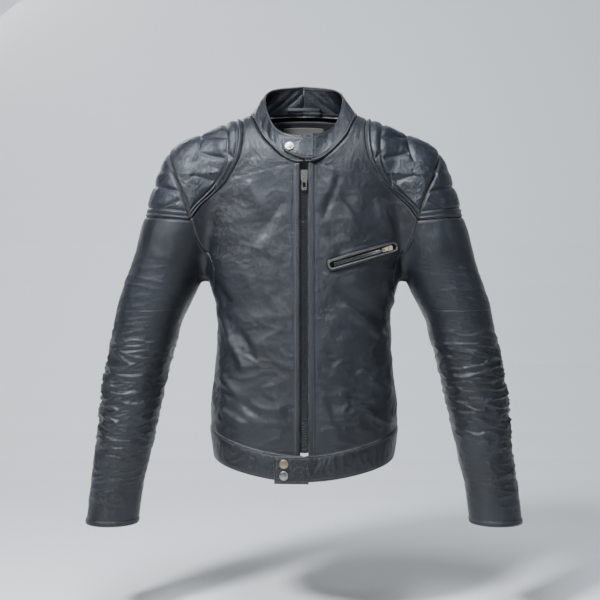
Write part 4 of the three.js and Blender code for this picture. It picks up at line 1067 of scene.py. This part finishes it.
nickel = metal("rubbed_nickel", (0.50, 0.49, 0.47), (0.26, 0.25, 0.24), 0.22, 0.48)
brass = metal("aged_brass", (0.50, 0.41, 0.29), (0.24, 0.19, 0.14), 0.28, 0.55)
black_teeth = metal("oxidised_teeth", (0.11, 0.11, 0.115), (0.03, 0.03, 0.032), 0.3, 0.55)
bright_teeth = metal("worn_silver_teeth", (0.58, 0.56, 0.52), (0.20, 0.19, 0.18), 0.26, 0.5)


def carry_over(name, material, edge=0.00035):
    """A CAD piece kept as it is, with its finish and softened edges."""
    piece = bpy.data.objects[name]
    piece.data.materials.clear()
    piece.data.materials.append(material)
    weld = piece.modifiers.new("weld", "WELD")
    weld.merge_threshold = 1e-5
    soften = piece.modifiers.new("soften", "BEVEL")
    soften.width, soften.segments, soften.limit_method, soften.angle_limit = edge, 2, "ANGLE", math.radians(28)
    soften.harden_normals = True


# ---- Snaps -------------------------------------------------------------------------------------
# Pressed caps with a rolled rim and a slightly domed face; sockets and studs are beneath the tabs.
def snap_cap(name, centre, out, material, radius=7.6, height=2.3):
    bm = bmesh.new()
    profile = [(0, 1.0), (0.45, 0.97), (0.72, 0.86), (0.80, 0.80), (0.84, 0.84), (0.92, 0.86),
        (0.985, 0.66), (1.0, 0.35), (0.97, 0.0)]
    rim = [bm.verts.new((radius * r, 0, height * z)) for r, z in profile]
    edges = [bm.edges.new(pair) for pair in zip(rim, rim[1:])]
    bmesh.ops.spin(bm, geom=rim + edges, axis=(0, 0, 1), cent=(0, 0, 0), steps=40, angle=2 * math.pi,
        use_merge=True)
    bmesh.ops.remove_doubles(bm, verts=bm.verts, dist=1e-4)
    bmesh.ops.holes_fill(bm, edges=bm.edges)
    turn = Vector(out).to_track_quat("Z", "Y").to_matrix().to_4x4()
    bmesh.ops.transform(bm, matrix=Matrix.Scale(0.001, 4) @ Matrix.Translation(Vector(centre)) @ turn,
        verts=bm.verts)
    bmesh.ops.recalc_face_normals(bm, faces=bm.faces)
    return solid_piece(name, bm, material)


def on_surface(surface, u, v, height, on_form):
    e = 0.01
    spots = surface(np.array([u, u + e, u]), np.array([v, v, v + e]))
    if on_form:
        p, out = laid(spots)
        return p[0] + out[0] * height, out[0]
    out = np.cross(spots[1] - spots[0], spots[2] - spots[0])
    out *= np.sign(out @ straight_out(spots[:1])[0]) / np.linalg.norm(out)
    return spots[0] + out * height, out


cap_seat = tab_lift + 2.5
centre, out = on_surface(collar_tab_surface, snap_u, 0.5, cap_seat - 0.2, False)
caps = [(snap_cap("collar_cap", centre, out, nickel), "collar_snap_cap", "collar_tab")]
for name, v in waist_snaps.items():
    centre, out = on_surface(waist_tab_surface, waist_snap_along, v, cap_seat - 0.2, True)
    caps.append((snap_cap(f"waist_cap_{name}", centre, out, nickel if name == "lower" else brass),
        f"waist_snap_cap_{name}", "waist_tab"))
for cap, stood_for, body in caps:
    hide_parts(stood_for)
    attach(cap, body)
for name in ("collar_snap_socket", "collar_snap_stud", "waist_snap_socket_upper",
    "waist_snap_socket_lower",
             "waist_snap_stud_upper", "waist_snap_stud_lower"):
    carry_over(name, nickel, 0.0002)


# ---- Front zip ---------------------------------------------------------------------------------
# Moulded tapes with a corded edge; each tooth is a cast block clamped on the cord, its nose between
# the noses of the other row. The slider's bridge carries a pierced pull.
weave = striped("woven_tape", 900.0, (0.006, 0.006, 0.007), (0.02, 0.02, 0.022), 0.85, 0.6, (0.6, 0.0002),
                "DIAGONAL")

zip_top, zip_bottom, chain_depth, tooth_pitch = -110.0, -566.0, 2.6, 4.4
down_zip = np.array((0, -0.06993, -0.99755))
out_of_zip = np.array((0, -0.99755, 0.06993))


def block(bm, centre, size, axes, bevel=0.0):
    """A box with softened edges, its sides along three given ways."""
    made = bmesh.ops.create_cube(bm, size=1)["verts"]
    edges = list({e for v in made for e in v.link_edges})
    bmesh.ops.scale(bm, vec=size, verts=made)
    if bevel:
        made = list({v for f in bmesh.ops.bevel(bm, geom=edges, offset=bevel, segments=1, profile=0.5,
            affect="EDGES", material=-1)["faces"] for v in f.verts}
                    | {v for v in made if v.is_valid})
    turn = Matrix([list(a) for a in axes]).transposed().to_4x4()
    bmesh.ops.transform(bm, matrix=Matrix.Scale(0.001, 4) @ Matrix.Translation(Vector(centre)) @ turn,
        verts=made)


def zip_place(x, far, height=0.0):
    top = np.array((0, -float(front_depth(zip_top)), zip_top))
    return top + down_zip * far + out_of_zip * height + np.array((x, 0, 0))


chain_length = np.linalg.norm(zip_place(0, 0) - (0, -float(front_depth(zip_bottom)), zip_bottom))
for side, word in ((1, "left"), (-1, "right")):
    bm = bmesh.new()
    axes = ((side, 0, 0), tuple(-down_zip), tuple(out_of_zip))
    axes = (axes[0], axes[1], tuple(np.cross(axes[0], axes[1])))
    for i in range(int((chain_length - 2) / tooth_pitch)):
        far = (i + 0.5) * tooth_pitch + (0 if side > 0 else tooth_pitch / 2)
        block(bm, zip_place(2.3 * side, far, -chain_depth), (4.4, 2.5, 2.9), axes, 0.4)
        block(bm, zip_place(0.3 * side, far, -chain_depth), (1.0, 1.5, 2.0), axes)
    row = solid_piece(f"zip_row_{word}", bm, black_teeth)
    row.data.shade_flat()
    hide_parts(f"zip_teeth_{word}")
    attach(row, f"front_{word}")
    g = grid_on(lambda u, v: zip_place(0, 0) + np.outer(v * (chain_length + 12) - 6, down_zip)
        + np.outer(3.8 + 13 * u, (1, 0, 0)), 10, 160, side, on_form=False)
    cord = 1.1 * np.exp(-(((g.left - 0.9) / 0.8) ** 2))
    tape = finish_panel(f"zip_tape_{word}_cloth", g, cord - chain_depth - 0.2, 0, weave, thickness=0.7,
        out_way=lambda p: np.broadcast_to(out_of_zip, p.shape))
    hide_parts(f"zip_tape_{word}")
    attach(tape, f"front_{word}")


def rounded(bm, half_width, half_length, radius, middle=0.0):
    """Edges of an upright rectangle with round corners."""
    ring = []
    for turn in np.linspace(0, 2 * np.pi, 32, endpoint=False) + 0.05:
        x, y = math.cos(turn), math.sin(turn)
        place = ((half_width - radius) * math.copysign(1, x) + radius * x,
                 middle + (half_length - radius) * math.copysign(1, y) + radius * y, 0)
        ring.append(bm.verts.new(place))
    return [bm.edges.new(pair) for pair in zip(ring, ring[1:] + ring[:1])]


# The pull is a stamped plate, pierced by a round eye for the bridge and a long window for a thong.
low, high = (Vector(c) * 1000 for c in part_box("zip_pull"))
pull_width, pull_length, pull_plate = high.x - low.x, (high.z - low.z) / 0.9976, 1.7
bm = bmesh.new()
cuts = rounded(bm, pull_width / 2, pull_length / 2, 2.0)
cuts += rounded(bm, 1.7, 1.7, 1.69, pull_length / 2 - 3.6)
cuts += rounded(bm, pull_width / 2 - 2.2, pull_length / 2 - 7.2, 0.9, -2.6)
bmesh.ops.triangle_fill(bm, use_beauty=True, edges=cuts)
raised = bmesh.ops.extrude_face_region(bm, geom=list(bm.faces))["geom"]
bmesh.ops.translate(bm, vec=(0, 0, pull_plate), verts=[v for v in raised if isinstance(v,
    bmesh.types.BMVert)])
bmesh.ops.recalc_face_normals(bm, faces=bm.faces)
turn = Matrix([(1, 0, 0), tuple(-down_zip), tuple(out_of_zip)]).transposed().to_4x4()
seat = (low + high) / 2 - Vector(out_of_zip) * pull_plate / 2
bmesh.ops.transform(bm, matrix=Matrix.Scale(0.001, 4) @ Matrix.Translation(seat) @ turn, verts=bm.verts)
pull = solid_piece("zip_pull_plate", bm, nickel)
pull.data.shade_flat()
rim = pull.modifiers.new("rim", "BEVEL")
rim.width, rim.segments, rim.limit_method = 0.00035, 2, "ANGLE"
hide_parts("zip_pull")
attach(pull, "zip_pull")
for name, material in (("zip_slider", nickel), ("zip_pin", black_teeth), ("zip_box", black_teeth)):
    carry_over(name, material, 0.0004)


# ---- Chest pocket ------------------------------------------------------------------------------
# A slanted slot framed by a rolled lip of hide sewn once round, closed by a small silver chain with a
# brass slider whose pull lies back along it.
def pocket_ring(u, v):
    turn = 2 * np.pi * u
    radius = pocket_slot + (-0.8 + 6.2 * v)
    c = np.cos(turn)
    flat = np.where(np.abs(c) < 0.35, c / 0.35, np.sign(c))
    return pocket_point((pocket_half - pocket_slot) * flat + radius * c, radius * np.sin(turn))[0]


g = grid_on(pocket_ring, 220, 18, on_form=False)
roll = np.sqrt(np.clip(1 - ((g.v - 0.45) / 0.55) ** 2, 0, 1))
h = 0.6 + 4.0 * roll - 0.5 * np.exp(-(((g.v - 0.74) / 0.07) ** 2)) + 0.35 * wave(np.stack([g.p[:, 0],
    g.v * 3, g.p[:, 2]], 1), 5, 1.1) * roll
welt = finish_panel("pocket_lip", g, h, 1.0 * np.exp(-(((g.v - 0.35) / 0.25) ** 2)), hide, thickness=1.3,
    closed=True,
                    out_way=lambda p: pocket_out(pocket_middle_turn + 0 * p[:, 0]))
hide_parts("pocket_welt")
around = np.linspace(0, 1, 600)
lines = []
for v, rise in ((0.76, 3.3),):
    turn = pocket_ring(around, np.full_like(around, v))
    lines.append((turn + rise * pocket_out(np.full_like(around, pocket_middle_turn)),
        pocket_out(np.full_like(around, pocket_middle_turn))))
lip_sewing = sewn("pocket_stitching", *lines, pitch=2.9, length=2.1, radius=0.32)
for piece in (welt, lip_sewing):
    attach(piece, "root")
bm = bmesh.new()
for i in range(50):
    s = -pocket_half + 8 + i * 2.3
    for half in (-1, 1):
        p, out = pocket_point(s + (1.15 if half > 0 else 0), 1.5 * half, -1.9)
        ahead = np.cross(out, pocket_axis)
        block(bm, p, (2.9, 1.5, 1.9), (tuple(pocket_axis), tuple(ahead),
            tuple(np.cross(pocket_axis, ahead))), 0.25)
pocket_chain = solid_piece("pocket_chain", bm, bright_teeth)
pocket_chain.data.shade_flat()
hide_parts("pocket_teeth")
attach(pocket_chain, "root")
carry_over("pocket_slider", brass)
carry_over("pocket_pull", brass)
carry_over("pocket_tape", weave, 0.0001)


# ---- Lining ------------------------------------------------------------------------------------
# Black satin, cut a little full, hangs inside the body and the sleeves.
satin = striped("black_satin", 1500.0, (0.009, 0.009, 0.010), (0.022, 0.022, 0.025), 0.45, 0.3,
    (0.3, 0.0001), "Z")
satin.node_tree.nodes["Principled BSDF"].inputs["Sheen Weight"].default_value = 0.25


def lining(name, surface, across, along, stands_for, side=1, closed=False, seed=1.0):
    g = grid_on(surface, across, along, side)
    ripples = 0.9 * wave(g.p, 26, seed) + 0.5 * wave(g.p, 12, seed)
    cloth = finish_panel(name, g, ripples, 0, satin, thickness=0.6, lift=-7.6, closed=closed)
    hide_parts(*stands_for)
    return cloth


def drawn_in(surface, share, low=0.0, high=1.0):
    return lambda u, v: surface(share + (1 - 2 * share) * u, low + (high - low) * v)


yoke_cloth = lining("yoke_cloth", drawn_in(patch(yoke_seam, back_neck, backwards(quilt_back),
    reflected(backwards(quilt_back))), 0.04, 0.05, 0.96), 70, 34, ["yoke_lining"])
back_cloth = lining("back_cloth", drawn_in(patch(back_waist, yoke_seam, back_side, reflected(back_side)),
    0.06, 0.02, 0.98), 80, 80, ["back_lining"], seed=2)
for cloth in (yoke_cloth, back_cloth):
    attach(cloth, "root")
for side, word in ((1, "left"), (-1, "right")):
    cloth = lining(f"front_{word}_cloth", drawn_in(front_surface, 0.24, 0.02, 0.97), 36, 90,
        [f"front_{word}_lining"], side, seed=3 * side)
    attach(cloth, "root")
    cloth = lining(f"sleeve_{word}_upper_cloth", drawn_in(sleeve_tube, 0.0, 0.84, 1.06), 60, 30,
                   [f"sleeve_{word}_upper_lining"], side, True, 4 * side)
    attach(cloth, f"sleeve_{word}_upper")
    cloth = lining(f"sleeve_{word}_lower_cloth", drawn_in(sleeve_tube, 0.0, 0.025, 0.80), 60, 60,
        [f"sleeve_{word}_lower_lining"], side, True, 5 * side)
    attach(cloth, f"sleeve_{word}_lower")

# A pocket bag of the same cloth hangs behind the slot.
g = grid_on(lambda u, v: pocket_point(-pocket_half + 8 + (2 * pocket_half - 36) * u, -105 + 100 * v)[0],
    24, 24)
bag = finish_panel("pocket_pouch", g, 0.4 * wave(g.p, 20, 3), 0, satin, thickness=1.0, lift=-3.6)
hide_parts("pocket_bag")
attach(bag, "root")

# ---- Hanger loop and neck patch ----------------------------------------------------------------
# A narrow strap of hide sewn at both ends under the collar, above a plain woven patch with no words.
low, high = (Vector(c) * 1000 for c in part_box("hanger_loop"))


def loop_surface(u, v):
    bow = np.sin(np.pi * u) ** 0.35
    return np.stack([low.x + (high.x - low.x) * u, high.y - 0.6 - (high.y - low.y - 1.6) * bow,
        low.z + 0.6 + (high.z - low.z - 1.2) * v], -1)


g = grid_on(loop_surface, 60, 6, on_form=False)
loop = finish_panel("hanging_loop", g, 0.25 * wave(g.p, 8, 1) - 0.3 * np.exp(-np.minimum(g.bottom,
    g.top) / 0.8), 0.5 * np.exp(-np.minimum(g.bottom, g.top)),
                    hide, thickness=1.6, out_way=lambda p: np.broadcast_to(np.array((0, -1.0, 0)),
                        p.shape))
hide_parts("hanger_loop")
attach(loop, "root")
patch_cloth = striped("woven_patch", 800.0, (0.10, 0.095, 0.085), (0.20, 0.19, 0.17), 0.8)
g = grid_on(lambda u, v: np.stack([-38 + 76 * u, np.full_like(u, 84.0), -42 + 38 * v], -1), 60, 30)
edges = np.minimum.reduce([g.left, g.right, g.bottom, g.top])
label = finish_panel("plain_patch", g, 0.3 * wave(g.p, 14, 2) + 0.3 * np.exp(-(((edges - 2) / 0.8) ** 2)),
    0, patch_cloth, thickness=0.8, lift=-11.4)
label_sewing = sewn("patch_stitching", *[line_on(g, 2.0, e) for e in ("left", "right", "bottom", "top")],
    pitch=2.6, length=1.8, radius=0.25)
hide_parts("neck_patch")
for piece in (label, label_sewing):
    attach(piece, "root")
